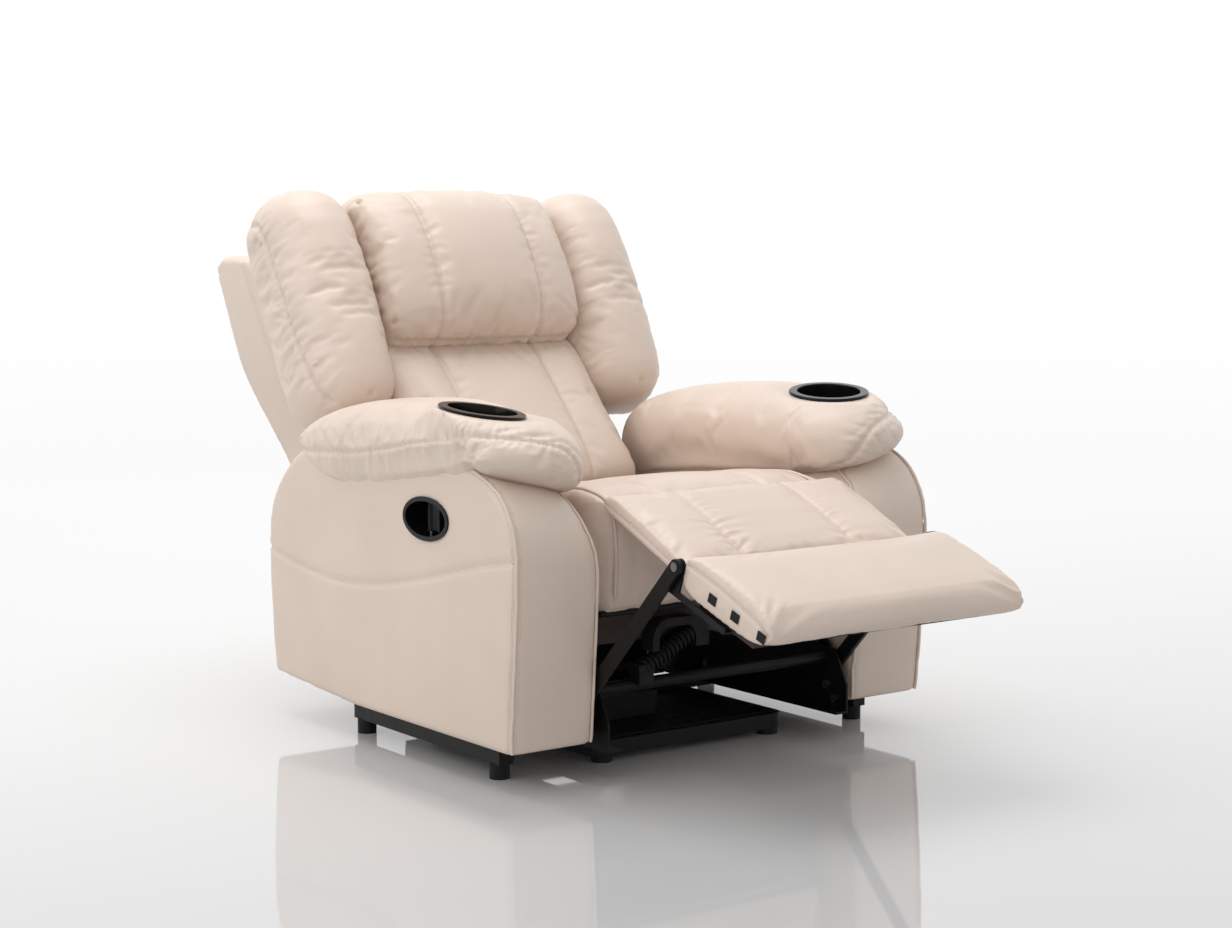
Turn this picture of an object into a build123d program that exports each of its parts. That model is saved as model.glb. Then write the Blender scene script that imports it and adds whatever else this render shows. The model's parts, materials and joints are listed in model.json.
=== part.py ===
"""Recliner armchair: padded arms with cup holders, reclining back, linked footrest and flap.

Millimetres. +X is the sitter's left, the chair faces -Y, +Z is up. The origin is on the
floor under the middle of the open chair. Pieces named right lie on the -X side.
"""
from build123d import *
from math import cos, radians, sin
import os

os.makedirs("parts", exist_ok=True)

# ---- overall sizes ----
seat_gap = 602.0            # clear width between the arms
arm_width = 174.0           # one arm, inner face to outer face
arm_depth = 850.0           # arm, front face to back face
arm_top = 546.0             # top of the arm box, under its pad
arm_bottom = 67.0           # underside of the arm box
seat_height = 500.0         # highest line of the seat cushion, at its front
front = -385.0              # front face of the arms
rear = front + arm_depth

inner = seat_gap / 2
outer = inner + arm_width

# ---- sheet, board and fit values ----
plate = 4.0                 # steel plates of the mechanism
board = 18.0                # wooden boards
skin = 14.0                 # padded cover over a board
layer_gap = 2.5             # side gap between moving plates
running = 0.05              # radial clearance of a pin in its bore
pin_radius = 5.0
head_radius = 8.0
head_height = 2.0
tube_radius = 9.0           # torque tube across the mechanism
crossbar = 25.0             # width of the flat bars under the side plates
bar_height = 10.0

# ---- layers of the mechanism, counted inwards from the arm ----
link_thickness = 8.0
arm_clearance = 4.0
link_out = inner - arm_clearance
link_in = link_out - link_thickness
crank_out = link_in - layer_gap
crank_in = crank_out - plate
side_out = crank_in - layer_gap
side_in = side_out - plate

# ---- base ----
base_half = 225.0
base_tube = 30.0
base_low = 12.0
base_high = 40.0
base_front = front + 100.0
base_rear = rear - 230.0
base_corner = 28.0
foot_radius = 20.0
pan_thickness = 2.0
pan_margin = 20.0
bar_front = front + 390.0
bar_rear = rear - 305.0
beam_height = 100.0         # upright web on the rear bar
skid_width = 30.0
skid_middle = outer - 60.0
skid_front = front + 100.0
skid_rear = rear - 250.0
skid_height = 40.0
glide_radius = 18.0
glide_inset = 22.0

# ---- side plates ----
flange_width = 26.0
plate_low = base_high + bar_height
plate_front = front - 15.0
tube_front_y = front + 45.0
tube_front_z = 150.0
tube_front_radius = 11.0
hex_radius = 8.0
hex_height = 6.0

# ---- leg rest linkage ----
crank_pivot = (front + 115.0, seat_height - 265.0)
crank_length = 126.0
crank_angle = 226.3         # crank direction at rest, from +Y towards +Z
crank_width = 22.0
coupler_offset = 90.0       # between the two cranks, along the lift link
link_length = 360.0         # front elbow to footrest pivot
link_angle = 134.0
link_width = 26.0
open_pin_radius = 4.0
open_pin_gap = 1.5
open_pin_boss = 14.0


def polar(start, length, angle):
    """Point at a length and an angle from a start point, in the side view."""
    return (start[0] + length * cos(radians(angle)), start[1] + length * sin(radians(angle)))


elbow = polar(crank_pivot, crank_length, crank_angle)
rear_pivot = polar(crank_pivot, coupler_offset, link_angle + 180)
rear_elbow = polar(elbow, coupler_offset, link_angle + 180)
foot_pivot = polar(elbow, link_length, link_angle)

# ---- footrest, drawn along its own slope from its pivot ----
foot_slope = 200.0
foot_half = inner - 14.5
foot_back = 16.0
foot_front = 225.0
foot_nose = 252.0
foot_nose_drop = 20.0
foot_chin = 7.0
foot_top = 26.0
foot_under = -38.0
foot_board_back = 52.0
foot_board_front = 196.0
foot_board_thickness = 12.0
foot_board_inset = 17.0
bracket_boss = 13.0
bracket_reach = 140.0
bracket_start = 30.0
bracket_strip = 11.0
bracket_flange = 42.0
bracket_sheet = 3.0
clip_places = (96.0, 157.0, 226.0)
clip_length = 20.0
clip_height = 16.0
clip_proud = 1.2
clip_level = -12.0

# ---- flap between the seat and the footrest ----
flap_pivot = (front + 10.0, seat_height - 22.0)
flap_slope = 203.8
flap_half = inner - 35.0
flap_length = 230.0
flap_board = 6.0
flap_pad = 22.0
flap_start = 6.0
flap_rod_radius = 3.0
flap_lug_radius = 6.0
flap_lug_length = 30.0
flap_lug_gap = 1.0
flap_lug_places = (-200.0, 0.0, 200.0)

# ---- seat ----
seat_half = inner - 35.0
seat_front = front + 30.0
seat_rear = rear - 320.0
seat_rail_low = seat_height - 274.0
seat_rail_high = seat_height - 216.0
seat_rail_front = front + 60.0
seat_rail_rear = rear - 290.0
strap_thickness = 3.0
strap_width = 50.0
strap_count = 4
seat_board_front = front + 20.0
seat_board_thickness = 10.0
seat_crown = [(0.0, -30.0), (12.0, -8.0), (60.0, 0.0)]   # from the cushion's front and height
seat_tail = [(-40.0, -42.0), (0.0, -70.0)]               # from its rear and height

# ---- arms ----
arm_rear_rise = 20.0        # the underside climbs towards the back
arm_rise_length = 330.0
arm_heel = 16.0             # the rear face leans forward this much at its foot
arm_front_curve = [         # from the front and the top, and how far an inset moves each point
    (-20.0, -207.0, 1.0, 0.0),
    (-22.0, -140.0, 1.0, 0.0),
    (-4.0, -83.0, 1.0, -0.5),
    (25.0, -43.0, 1.0, -1.0),
    (71.0, -14.0, 0.5, -1.0),
    (117.0, 0.0, 0.0, -1.0),
]
arm_rear_curve = [
    (-160.0, 0.0, 0.0, -1.0),
    (-111.0, -23.0, -0.5, -1.0),
    (-49.0, -73.0, -1.0, -1.0),
    (-15.0, -100.0, -1.0, -0.5),
    (0.0, -201.0, -1.0, 0.0),
]
arm_window_front = 130.0    # top of the opening inside the wooden box
arm_window_rear = 180.0
arm_window_low = 100.0
arm_window_end = 160.0
lining = 8.0                # cover on the inner side of an arm
pad_in = inner - 33.0
pad_out = outer + 22.0
pad_low = arm_top - 44.0
pad_front = front - 26.0
pad_rear = rear - 158.0
pad_lip = 10.0
pad_crown = [(-10.0, 44.0), (32.0, 72.0), (120.0, 88.0), (304.0, 103.0), (499.0, 84.0)]
pad_tail = [(-60.0, 46.0), (0.0, -10.0)]                 # from the pad's rear end
cup_x = inner + 104.0
cup_y = front + 186.0
cup_z = arm_top + 91.0
cup_radius = 62.0
cup_taper = 9.0             # how much narrower the cup's bottom is
cup_depth = 78.0
cup_wall = 3.0
cup_flange_radius = cup_radius + 16.0
cup_flange_height = 5.0
cup_forward_tilt = 7.0
cup_inward_tilt = 5.0
cup_clearance = 0.5

# ---- release handle in the right arm ----
handle_y = front + 261.0
handle_z = arm_top - 99.0
handle_length = 150.0
handle_height = 79.0
handle_lip = 6.0            # flange width outside the oval tube
handle_proud = 3.0
handle_wall = 2.5
handle_depth = 42.0
lever_pin_radius = 3.0
lever_pin_y = handle_y + 20.0
lever_pin_depth = 24.0
lever_hub_radius = 6.5
lever_reach = 40.0
lever_thickness = 5.0
lever_end_gap = 4.0
lever_lip = 9.0

# ---- back, drawn along its own slope from its pivot ----
recline = 28.0              # lean from the vertical, as set down
back_pivot = (rear - 190.0, seat_height - 170.0)
back_plane_level = 80.0     # rear face of the back cushions
post_width = 30.0
post_depth = 30.0
post_top = 720.0
post_bottom = 30.0
rail_height = 40.0
back_strap_places = (170.0, 300.0, 430.0, 560.0)
shell_half = outer - 75.0
shell_waist = outer - 135.0
shell_top = 748.0
shell_shoulder = 500.0
shell_waist_level = 270.0
shell_rear = 236.0
shell_low_front = 250.0
shell_low_rear = 90.0
shell_corner = 45.0
apron_half = inner - 33.0
apron_low = -60.0
apron_high = 300.0
apron_thickness = 14.0
bolster_in = 245.0
bolster_out = outer - 55.0
bolster_low = 272.0
bolster_high = 745.0
bolster_front = -147.0
bolster_edge = 12.0
bolster_crown = [(60.0, 0.0), (8.0, -35.0), (0.0, -110.0)]
bolster_heel = [(14.0, 24.0), (34.0, 0.0)]
head_half = 238.0
head_low = 412.0
head_high = 772.0
head_edge = 20.0
head_crown = [(-90.0, 0.0), (-135.0, -45.0), (-165.0, -170.0)]
head_heel = [(-148.0, 75.0), (-100.0, 8.0), (-70.0, 0.0)]
lumbar_half = 238.0
lumbar_low = 50.0
lumbar_high = 404.0
lumbar_crown = [(-58.0, 0.0), (-100.0, -90.0)]
lumbar_heel = [(-142.0, 100.0), (-146.0, 30.0), (-132.0, 0.0)]
pivot_boss = 18.0

# ---- drive unit and control box ----
drive_left = -150.0
drive_right = -22.0
drive_front = front + 27.0
drive_low = 208.0
drive_high = 264.0
drive_wall = 15.0
drive_back = 4.0
drive_round = 38.0
barrel_y = front + 42.0
barrel_start = (-48.0, 236.0)
barrel_end = (-164.0, 176.0)
barrel_radius = 13.0
rib_radius = 17.0
rib_count = 13
saddle_left = -180.0
saddle_right = -148.0
saddle_top = 186.0
box_left = -110.0
box_right = 20.0
box_front = front + 232.0
box_rear = front + 352.0
box_height = 44.0
box_round = 8.0
vent_count = 6
vent_width = 4.0
vent_length = 60.0
vent_depth = 3.0

SIDE = Plane.YZ
BACK = Plane(
    origin=(0, *back_pivot),
    x_dir=(0, cos(radians(recline)), -sin(radians(recline))),
    z_dir=(1, 0, 0),
)
FOOT = Plane(
    origin=(0, *foot_pivot),
    x_dir=(0, cos(radians(foot_slope)), sin(radians(foot_slope))),
    z_dir=(-1, 0, 0),
)
FLAP = Plane(
    origin=(0, *flap_pivot),
    x_dir=(0, cos(radians(flap_slope)), sin(radians(flap_slope))),
    z_dir=(-1, 0, 0),
)


# ---- shared shapes ----
def span(side, near, far):
    """Low and high distance of a layer on one side of the chair."""
    return sorted((side * near, side * far))


def shifted(points, first, second):
    """Points of an outline moved together."""
    return [(first + a, second + b) for a, b in points]


def block(x, y, z, mode=Mode.ADD):
    """Straight block between pairs of faces."""
    with Locations((sum(x) / 2, sum(y) / 2, sum(z) / 2)):
        Box(x[1] - x[0], y[1] - y[0], z[1] - z[0], mode=mode)


def slab(plane, outline, layer, mode=Mode.ADD):
    """Block with a side outline, as wide as the layer."""
    with BuildSketch(plane.offset(layer[0])) as face:
        with BuildLine():
            Polyline(*outline, close=True)
        make_face()
    extrude(face.sketch, amount=layer[1] - layer[0], mode=mode)


def disc(plane, middle, radius, layer, mode=Mode.ADD):
    """Round bar or hole across the chair."""
    with BuildSketch(plane.offset(layer[0])) as face:
        with Locations(middle):
            Circle(radius)
    extrude(face.sketch, amount=layer[1] - layer[0], mode=mode)


def bar(start, end, width, layer):
    """Flat bar with round ends between two points of the side view."""
    middle = ((start[0] + end[0]) / 2, (start[1] + end[1]) / 2)
    with BuildSketch(SIDE.offset(layer[0])) as face:
        SlotCenterPoint(middle, end, width)
    extrude(face.sketch, amount=layer[1] - layer[0])


def save(piece, label):
    """Name a sub-part and write its file."""
    piece.part.label = label
    export_step(piece.part, f"parts/{label}.step")


# ---- base ----
def make_base():
    """Low frame on four feet, with a pan and the two bars that carry the mechanism."""
    rail = (base_front, base_front + base_tube)
    with BuildPart() as front_rail:
        block((-base_half, base_half), rail, (base_low, base_high))
        edges = front_rail.edges().filter_by(Axis.Z).sort_by(Axis.Y)[:2]
        fillet(edges, base_corner)
    save(front_rail, "base_front_rail")

    with BuildPart() as rear_rail:
        block((-base_half, base_half), (base_rear - base_tube, base_rear), (base_low, base_high))
        edges = rear_rail.edges().filter_by(Axis.Z).sort_by(Axis.Y)[-2:]
        fillet(edges, base_corner)
    save(rear_rail, "base_rear_rail")

    with BuildPart() as side_rails:
        for side in (-1, 1):
            x = span(side, base_half - base_tube, base_half)
            block(x, (rail[1], base_rear - base_tube), (base_low, base_high))
    save(side_rails, "base_side_rails")

    with BuildPart() as pan:
        half = base_half - pan_margin
        y = (base_front + pan_margin, bar_front)
        block((-half, half), y, (base_high, base_high + pan_thickness))
    save(pan, "base_pan")

    with BuildPart() as feet:
        for side in (-1, 1):
            for y in (base_front + foot_radius, base_rear - foot_radius):
                x = side * (base_half - foot_radius - base_corner / 3)
                with Locations((x, y, base_low / 2)):
                    Cylinder(foot_radius, base_low)
    save(feet, "base_feet")

    with BuildPart() as cross_bars:
        for y in (bar_front, bar_rear):
            block((-side_in, side_in), (y, y + crossbar), (base_high, plate_low))
        half = side_in - flange_width - layer_gap
        y = (bar_rear + crossbar - plate, bar_rear + crossbar)
        block((-half, half), y, (plate_low, plate_low + beam_height))
    save(cross_bars, "base_cross_bars")


def make_skids():
    """Black strip and glides under each arm."""
    with BuildPart() as skids:
        for side in (-1, 1):
            x = span(side, skid_middle - skid_width / 2, skid_middle + skid_width / 2)
            block(x, (skid_front, skid_rear), (arm_bottom - skid_height, arm_bottom))
    save(skids, "arm_skids")

    with BuildPart() as glides:
        height = arm_bottom - skid_height
        for side in (-1, 1):
            for y in (skid_front + glide_inset, skid_rear - glide_inset):
                with Locations((side * skid_middle, y, height / 2)):
                    Cylinder(glide_radius, height)
    save(glides, "skid_glides")


# ---- fixed side of the mechanism ----
def side_plate_outline():
    """Edge of a side plate: low bar, raised at the cranks and at the back's pivot."""
    crank_y = crank_pivot[0]
    high = crank_pivot[1] + bracket_reach / 5
    back_y, back_z = back_pivot
    return [
        (plate_front, plate_low),
        (back_y, plate_low),
        (back_y + pivot_boss * 2, back_z),
        (back_y + pivot_boss, back_z + pivot_boss),
        (back_y - pivot_boss, back_z + pivot_boss),
        (back_y - pivot_boss * 5, high - board),
        (back_y - pivot_boss * 9, high),
        (back_y - pivot_boss * 9, plate_low + 4 * crossbar),
        (crank_y + coupler_offset + pivot_boss, plate_low + 4 * crossbar),
        (crank_y + coupler_offset, high),
        (crank_y - flange_width, high),
        (crank_y - flange_width, tube_front_z + flange_width),
        (front + board, tube_front_z + board),
        (plate_front, plate_low + 2 * flange_width),
    ]


def make_side_plates():
    """Pair of steel plates with a bottom flange, bored for the shafts."""
    with BuildPart() as plates:
        for side in (-1, 1):
            layer = span(side, side_in, side_out)
            slab(SIDE, side_plate_outline(), layer)
            y = (plate_front, back_pivot[0])
            block(span(side, side_in - flange_width, side_in), y, (plate_low, plate_low + plate))
            cut = span(side, side_in - plate, side_out + plate)
            disc(SIDE, crank_pivot, tube_radius + running, cut, Mode.SUBTRACT)
    save(plates, "side_plates")

    with BuildPart() as front_tube:
        disc(SIDE, (tube_front_y, tube_front_z), tube_front_radius, (-side_in, side_in))
    save(front_tube, "front_cross_tube")

    with BuildPart() as bolts:
        places = [
            (front + 2 * hex_radius, plate_low + 3 * hex_radius),
            (front + 5 * hex_radius, plate_low + 6 * hex_radius),
            (bar_front + crossbar / 2, plate_low + crossbar + hex_radius),
        ]
        for side in (-1, 1):
            layer = span(side, side_in - hex_height, side_in)
            for place in places:
                with BuildSketch(SIDE.offset(layer[0])):
                    with Locations(place):
                        RegularPolygon(hex_radius, 6)
                extrude(amount=layer[1] - layer[0])
    save(bolts, "frame_bolts")

    with BuildPart() as pins:
        for side in (-1, 1):
            disc(SIDE, rear_pivot, pin_radius, span(side, side_out, crank_out))
            head = span(side, crank_out + running, crank_out + running + head_height / 2)
            disc(SIDE, rear_pivot, head_radius, head)
            disc(SIDE, rear_pivot, pin_radius, span(side, crank_out, head[1] if side > 0 else -head[0]))
            disc(SIDE, back_pivot, pin_radius, span(side, side_out, crank_out + head_height))
            head = span(side, crank_out + running, crank_out + head_height)
            disc(SIDE, back_pivot, head_radius, head)
    save(pins, "pivot_pins")


# ---- linkage ----
def make_cranks():
    """Two pairs of cranks, the front pair welded to the torque tube that turns them."""
    with BuildPart() as front_cranks:
        for side in (-1, 1):
            layer = span(side, crank_in, crank_out)
            bar(crank_pivot, elbow, crank_width, layer)
            disc(SIDE, crank_pivot, bracket_boss, layer)
            disc(SIDE, elbow, pin_radius, layer, Mode.SUBTRACT)
        disc(SIDE, crank_pivot, tube_radius, (-crank_out, crank_out))
    save(front_cranks, "front_cranks")

    with BuildPart() as elbow_pins:
        for side in (-1, 1):
            cap = link_out + running
            disc(SIDE, elbow, pin_radius, span(side, crank_in, cap))
            disc(SIDE, elbow, head_radius, span(side, cap, cap + head_height))
    save(elbow_pins, "elbow_pins")

    with BuildPart() as rear_cranks:
        for side in (-1, 1):
            layer = span(side, crank_in, crank_out)
            bar(rear_pivot, rear_elbow, crank_width, layer)
            disc(SIDE, rear_elbow, open_pin_boss, layer)
            disc(SIDE, rear_pivot, pin_radius + running, layer, Mode.SUBTRACT)
            disc(SIDE, rear_elbow, open_pin_radius + open_pin_gap, layer, Mode.SUBTRACT)
    save(rear_cranks, "rear_cranks")


def make_links():
    """Long bars from the cranks up to the footrest."""
    with BuildPart() as links:
        for side in (-1, 1):
            layer = span(side, link_in, link_out)
            bar(foot_pivot, rear_elbow, link_width, layer)
            for place in (foot_pivot, elbow):
                disc(SIDE, place, pin_radius + running, layer, Mode.SUBTRACT)
            disc(SIDE, rear_elbow, open_pin_radius, span(side, crank_in, link_in))
    save(links, "lift_links")


def make_footrest():
    """Padded rest on a board, its steel brackets and the clips of its cover."""
    with BuildPart() as cushion:
        outline = [
            (foot_back, foot_top - 2),
            (foot_front, foot_top),
            (foot_nose, foot_top - foot_nose_drop),
            (foot_front + foot_chin, foot_under + 2 * foot_chin),
            (foot_board_front + 4, foot_under),
            (foot_back + 2, foot_under),
        ]
        slab(FOOT, outline, (-foot_half, foot_half))
    save(cushion, "footrest_cushion")

    low = foot_under - foot_board_thickness
    with BuildPart() as foot_board:
        half = foot_half - foot_board_inset
        outline = [
            (foot_board_back, foot_under),
            (foot_board_front, foot_under),
            (foot_board_front, low),
            (foot_board_back, low),
        ]
        slab(FOOT, outline, (-half, half))
    save(foot_board, "footrest_board")

    with BuildPart() as brackets:
        for side in (-1, 1):
            layer = span(side, crank_in, crank_out)
            disc(FOOT, (0, 0), bracket_boss, layer)
            leg = [
                (-bracket_boss, 0),
                (bracket_boss, 0),
                (bracket_boss, low - bracket_sheet + bracket_strip),
                (bracket_reach, low - bracket_sheet + bracket_strip),
                (bracket_reach, low - bracket_sheet),
                (-bracket_boss, low - bracket_sheet),
            ]
            slab(FOOT, leg, layer)
            flange = [
                (bracket_start, low),
                (bracket_reach, low),
                (bracket_reach, low - bracket_sheet),
                (bracket_start, low - bracket_sheet),
            ]
            slab(FOOT, flange, span(side, crank_out - bracket_flange, crank_out))
    save(brackets, "footrest_brackets")

    with BuildPart() as pins:
        for side in (-1, 1):
            cap = link_out + running
            disc(SIDE, foot_pivot, pin_radius, span(side, crank_out, cap))
            disc(SIDE, foot_pivot, head_radius, span(side, cap, cap + head_height))
    save(pins, "footrest_pins")

    with BuildPart() as clips:
        for side in (-1, 1):
            for place in clip_places:
                outline = [
                    (place - clip_length / 2, clip_level - clip_height / 2),
                    (place + clip_length / 2, clip_level - clip_height / 2),
                    (place + clip_length / 2, clip_level + clip_height / 2),
                    (place - clip_length / 2, clip_level + clip_height / 2),
                ]
                slab(FOOT, outline, span(side, foot_half, foot_half + clip_proud))
    save(clips, "footrest_clips")


def make_flap():
    """Middle leg panel, hinged on a rod along the seat's front edge."""
    with BuildPart() as flap:
        outline = [
            (flap_start, -flap_board),
            (flap_length, -flap_board),
            (flap_length, 0),
            (flap_start, 0),
        ]
        slab(FLAP, outline, (-flap_half, flap_half))
        hub = flap_rod_radius + running
        for place in flap_lug_places:
            lug = (place - flap_lug_length / 2, place + flap_lug_length / 2)
            disc(FLAP, (0, 0), flap_lug_radius, lug)
            arm = [(0, -flap_board), (flap_start, -flap_board), (flap_start, 0), (0, 0)]
            slab(FLAP, arm, lug)
            disc(FLAP, (0, 0), hub, lug, Mode.SUBTRACT)
    save(flap, "flap_board")

    with BuildPart() as cushion:
        outline = [
            (flap_start + 4, 0),
            (flap_length, 0),
            (flap_length + 6, flap_pad / 3),
            (flap_length - 4, flap_pad - 2),
            (flap_length / 2, flap_pad),
            (flap_start + 4, flap_pad - 3),
        ]
        slab(FLAP, outline, (-flap_half, flap_half))
    save(cushion, "flap_cushion")

    with BuildPart() as rod:
        places = sorted(flap_lug_places)
        reach = places[-1] + flap_lug_length
        disc(SIDE, flap_pivot, flap_rod_radius, (-reach, reach))
        for place in places:
            for side in (-1, 1):
                near = place + side * (flap_lug_length / 2 + flap_lug_gap)
                lug = sorted((near, near + side * flap_lug_length / 3))
                disc(SIDE, flap_pivot, flap_lug_radius, lug)
                z = (flap_pivot[1] - flap_lug_radius, flap_pivot[1])
                block(lug, (flap_pivot[0], seat_board_front), z)
    save(rod, "flap_rod")


# ---- seat ----
def make_seat():
    """Wooden rails and webbing under the seat cushion, with a board behind the flap."""
    z = (seat_rail_low, seat_rail_high)
    with BuildPart() as front_rail:
        block((-side_in, side_in), (seat_rail_front, seat_rail_front + board), z)
    save(front_rail, "seat_front_rail")

    with BuildPart() as rear_rail:
        block((-side_in, side_in), (seat_rail_rear - board, seat_rail_rear), z)
    save(rear_rail, "seat_rear_rail")

    with BuildPart() as side_rails:
        y = (seat_rail_front + board, seat_rail_rear - board)
        for side in (-1, 1):
            block(span(side, side_in - 1.5 * board, side_in), y, z)
            cut = span(side, side_in - 2 * board, side_in)
            disc(SIDE, crank_pivot, tube_radius + 2, cut, Mode.SUBTRACT)
    save(side_rails, "seat_side_rails")

    top = seat_rail_high + strap_thickness
    with BuildPart() as straps:
        pitch = 2 * seat_half / (strap_count + 1)
        for number in range(strap_count):
            middle = -seat_half + pitch * (number + 1)
            x = (middle - strap_width / 2, middle + strap_width / 2)
            block(x, (seat_rail_front, seat_rail_rear), (seat_rail_high, top))
    save(straps, "seat_webbing")

    with BuildPart() as front_board:
        y = (seat_board_front, seat_board_front + seat_board_thickness)
        block((-seat_half, seat_half), y, (seat_rail_high, flap_pivot[1] - 4))
        y = (seat_board_front, seat_rail_front)
        low = seat_rail_high - seat_board_thickness
        block((-seat_half, seat_half), y, (low, seat_rail_high))
    save(front_board, "seat_front_board")

    with BuildPart() as cushion:
        outline = [
            (seat_front, top),
            *shifted(seat_crown, seat_front, seat_height),
            *shifted(seat_tail, seat_rear, seat_height),
            (seat_rear, top),
        ]
        slab(SIDE, outline, (-seat_half, seat_half))
    save(cushion, "seat_cushion")


# ---- arms ----
def arm_outline(inset=0.0):
    """Side outline of an arm: bulging front, flat top, rounded fall at the back."""
    rise = [(front + y + inset * a, arm_top + z + inset * b) for y, z, a, b in arm_front_curve]
    fall = [(rear + y + inset * a, arm_top + z + inset * b) for y, z, a, b in arm_rear_curve]
    return [
        (front + inset, arm_bottom + inset),
        *rise,
        *fall,
        (rear - arm_heel - inset, arm_bottom + arm_rear_rise + inset),
        (rear - arm_rise_length, arm_bottom + inset),
    ]


def handle_cut(length, height, layer, mode=Mode.SUBTRACT):
    """Oval with its long way level, through a layer of the right arm."""
    with BuildSketch(SIDE.offset(layer[0])) as face:
        with Locations((handle_y, handle_z)):
            Ellipse(length / 2, height / 2)
    extrude(face.sketch, amount=layer[1] - layer[0], mode=mode)


oval_length = handle_length - 2 * handle_lip
oval_height = handle_height - 2 * handle_lip


def make_arm(side, name):
    """Wooden box, its four covers, the pad and the cup holder of one arm."""
    hollow = span(side, inner + lining, outer - skin)
    low = arm_bottom
    with BuildPart() as frame:
        outline = arm_outline(skin)
        slab(SIDE, outline, hollow)
        cut = [
            (front + skin + board, low + skin + board),
            (front + skin + board, arm_top - arm_window_low),
            (front + arm_window_front, arm_top - skin - board),
            (rear - arm_window_rear, arm_top - skin - board),
            (rear - 3 * board, arm_top - arm_window_end),
            (rear - 3 * board, low + arm_rear_rise + skin + board),
        ]
        slab(SIDE, cut, hollow, Mode.SUBTRACT)
    save(frame, f"arm_frame_{name}")

    with BuildPart() as outer_cover:
        layer = span(side, outer - skin, outer)
        slab(SIDE, arm_outline(), layer)
        if side < 0:
            handle_cut(oval_length, oval_height, layer)
    save(outer_cover, f"arm_outer_cover_{name}")

    with BuildPart() as inner_cover:
        slab(SIDE, arm_outline(), span(side, inner, inner + lining))
    save(inner_cover, f"arm_inner_cover_{name}")

    with BuildPart() as front_cover:
        outline = arm_outline()[:7] + arm_outline(skin)[6::-1]
        slab(SIDE, outline, hollow)
    save(front_cover, f"arm_front_cover_{name}")

    with BuildPart() as rear_cover:
        outline = arm_outline()[7:] + arm_outline(skin)[:6:-1]
        slab(SIDE, outline, hollow)
    save(rear_cover, f"arm_rear_cover_{name}")


def cup_plane(side):
    """Plane of a cup holder's rim, tipped forward and inward."""
    lean = -side * sin(radians(cup_inward_tilt))
    fall = -sin(radians(cup_forward_tilt))
    return Plane(
        origin=(side * cup_x, cup_y, cup_z),
        x_dir=(1, 0, -lean),
        z_dir=(lean, fall, (1 - lean * lean - fall * fall) ** 0.5),
    )


def round_cut(plane, radius, low, high, mode=Mode.SUBTRACT):
    """Round bar or hole along a plane's axis."""
    with BuildSketch(plane.offset(low)) as face:
        Circle(radius)
    extrude(face.sketch, amount=high - low, mode=mode)


def make_pad(side, name):
    """Soft pad that wraps over the top of an arm, open for the cup holder."""
    flat_start = arm_outline()[6][0]
    with BuildPart() as pad:
        top = [
            (pad_front, pad_low + pad_lip),
            (pad_front, arm_top + pad_lip),
            *shifted(pad_crown, front, arm_top),
            *shifted(pad_tail, pad_rear, arm_top),
            (pad_rear - pad_lip, pad_low + pad_lip),
        ]
        slab(SIDE, top, span(side, pad_in, pad_out))
        slab(SIDE, arm_outline(), span(side, inner, outer), Mode.SUBTRACT)
        below = [
            (flat_start, 0),
            (pad_rear + board, 0),
            (pad_rear + board, arm_top),
            (flat_start, arm_top),
        ]
        slab(SIDE, below, span(side, inner, outer), Mode.SUBTRACT)
        rim = cup_plane(side)
        round_cut(rim, cup_radius + cup_wall + cup_clearance, -2 * cup_depth, cup_depth)
        round_cut(rim, cup_flange_radius + cup_clearance, 0, cup_depth)
    save(pad, f"arm_pad_{name}")

    with BuildPart() as cup:
        rim = cup_plane(side)
        with BuildSketch(rim):
            Circle(cup_radius + cup_wall)
        with BuildSketch(rim.offset(-cup_depth)):
            Circle(cup_radius - cup_taper + cup_wall)
        loft()
        round_cut(rim, cup_flange_radius, 0, cup_flange_height, Mode.ADD)
        with BuildSketch(rim.offset(cup_flange_height)):
            Circle(cup_radius)
        with BuildSketch(rim.offset(-cup_depth + cup_wall)):
            Circle(cup_radius - cup_taper)
        loft(mode=Mode.SUBTRACT)
        rim_edge = cup.faces().sort_by(Axis.Z)[-1].edges()
        fillet(rim_edge, cup_flange_height / 2.2)
    save(cup, f"cup_holder_{name}")


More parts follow.
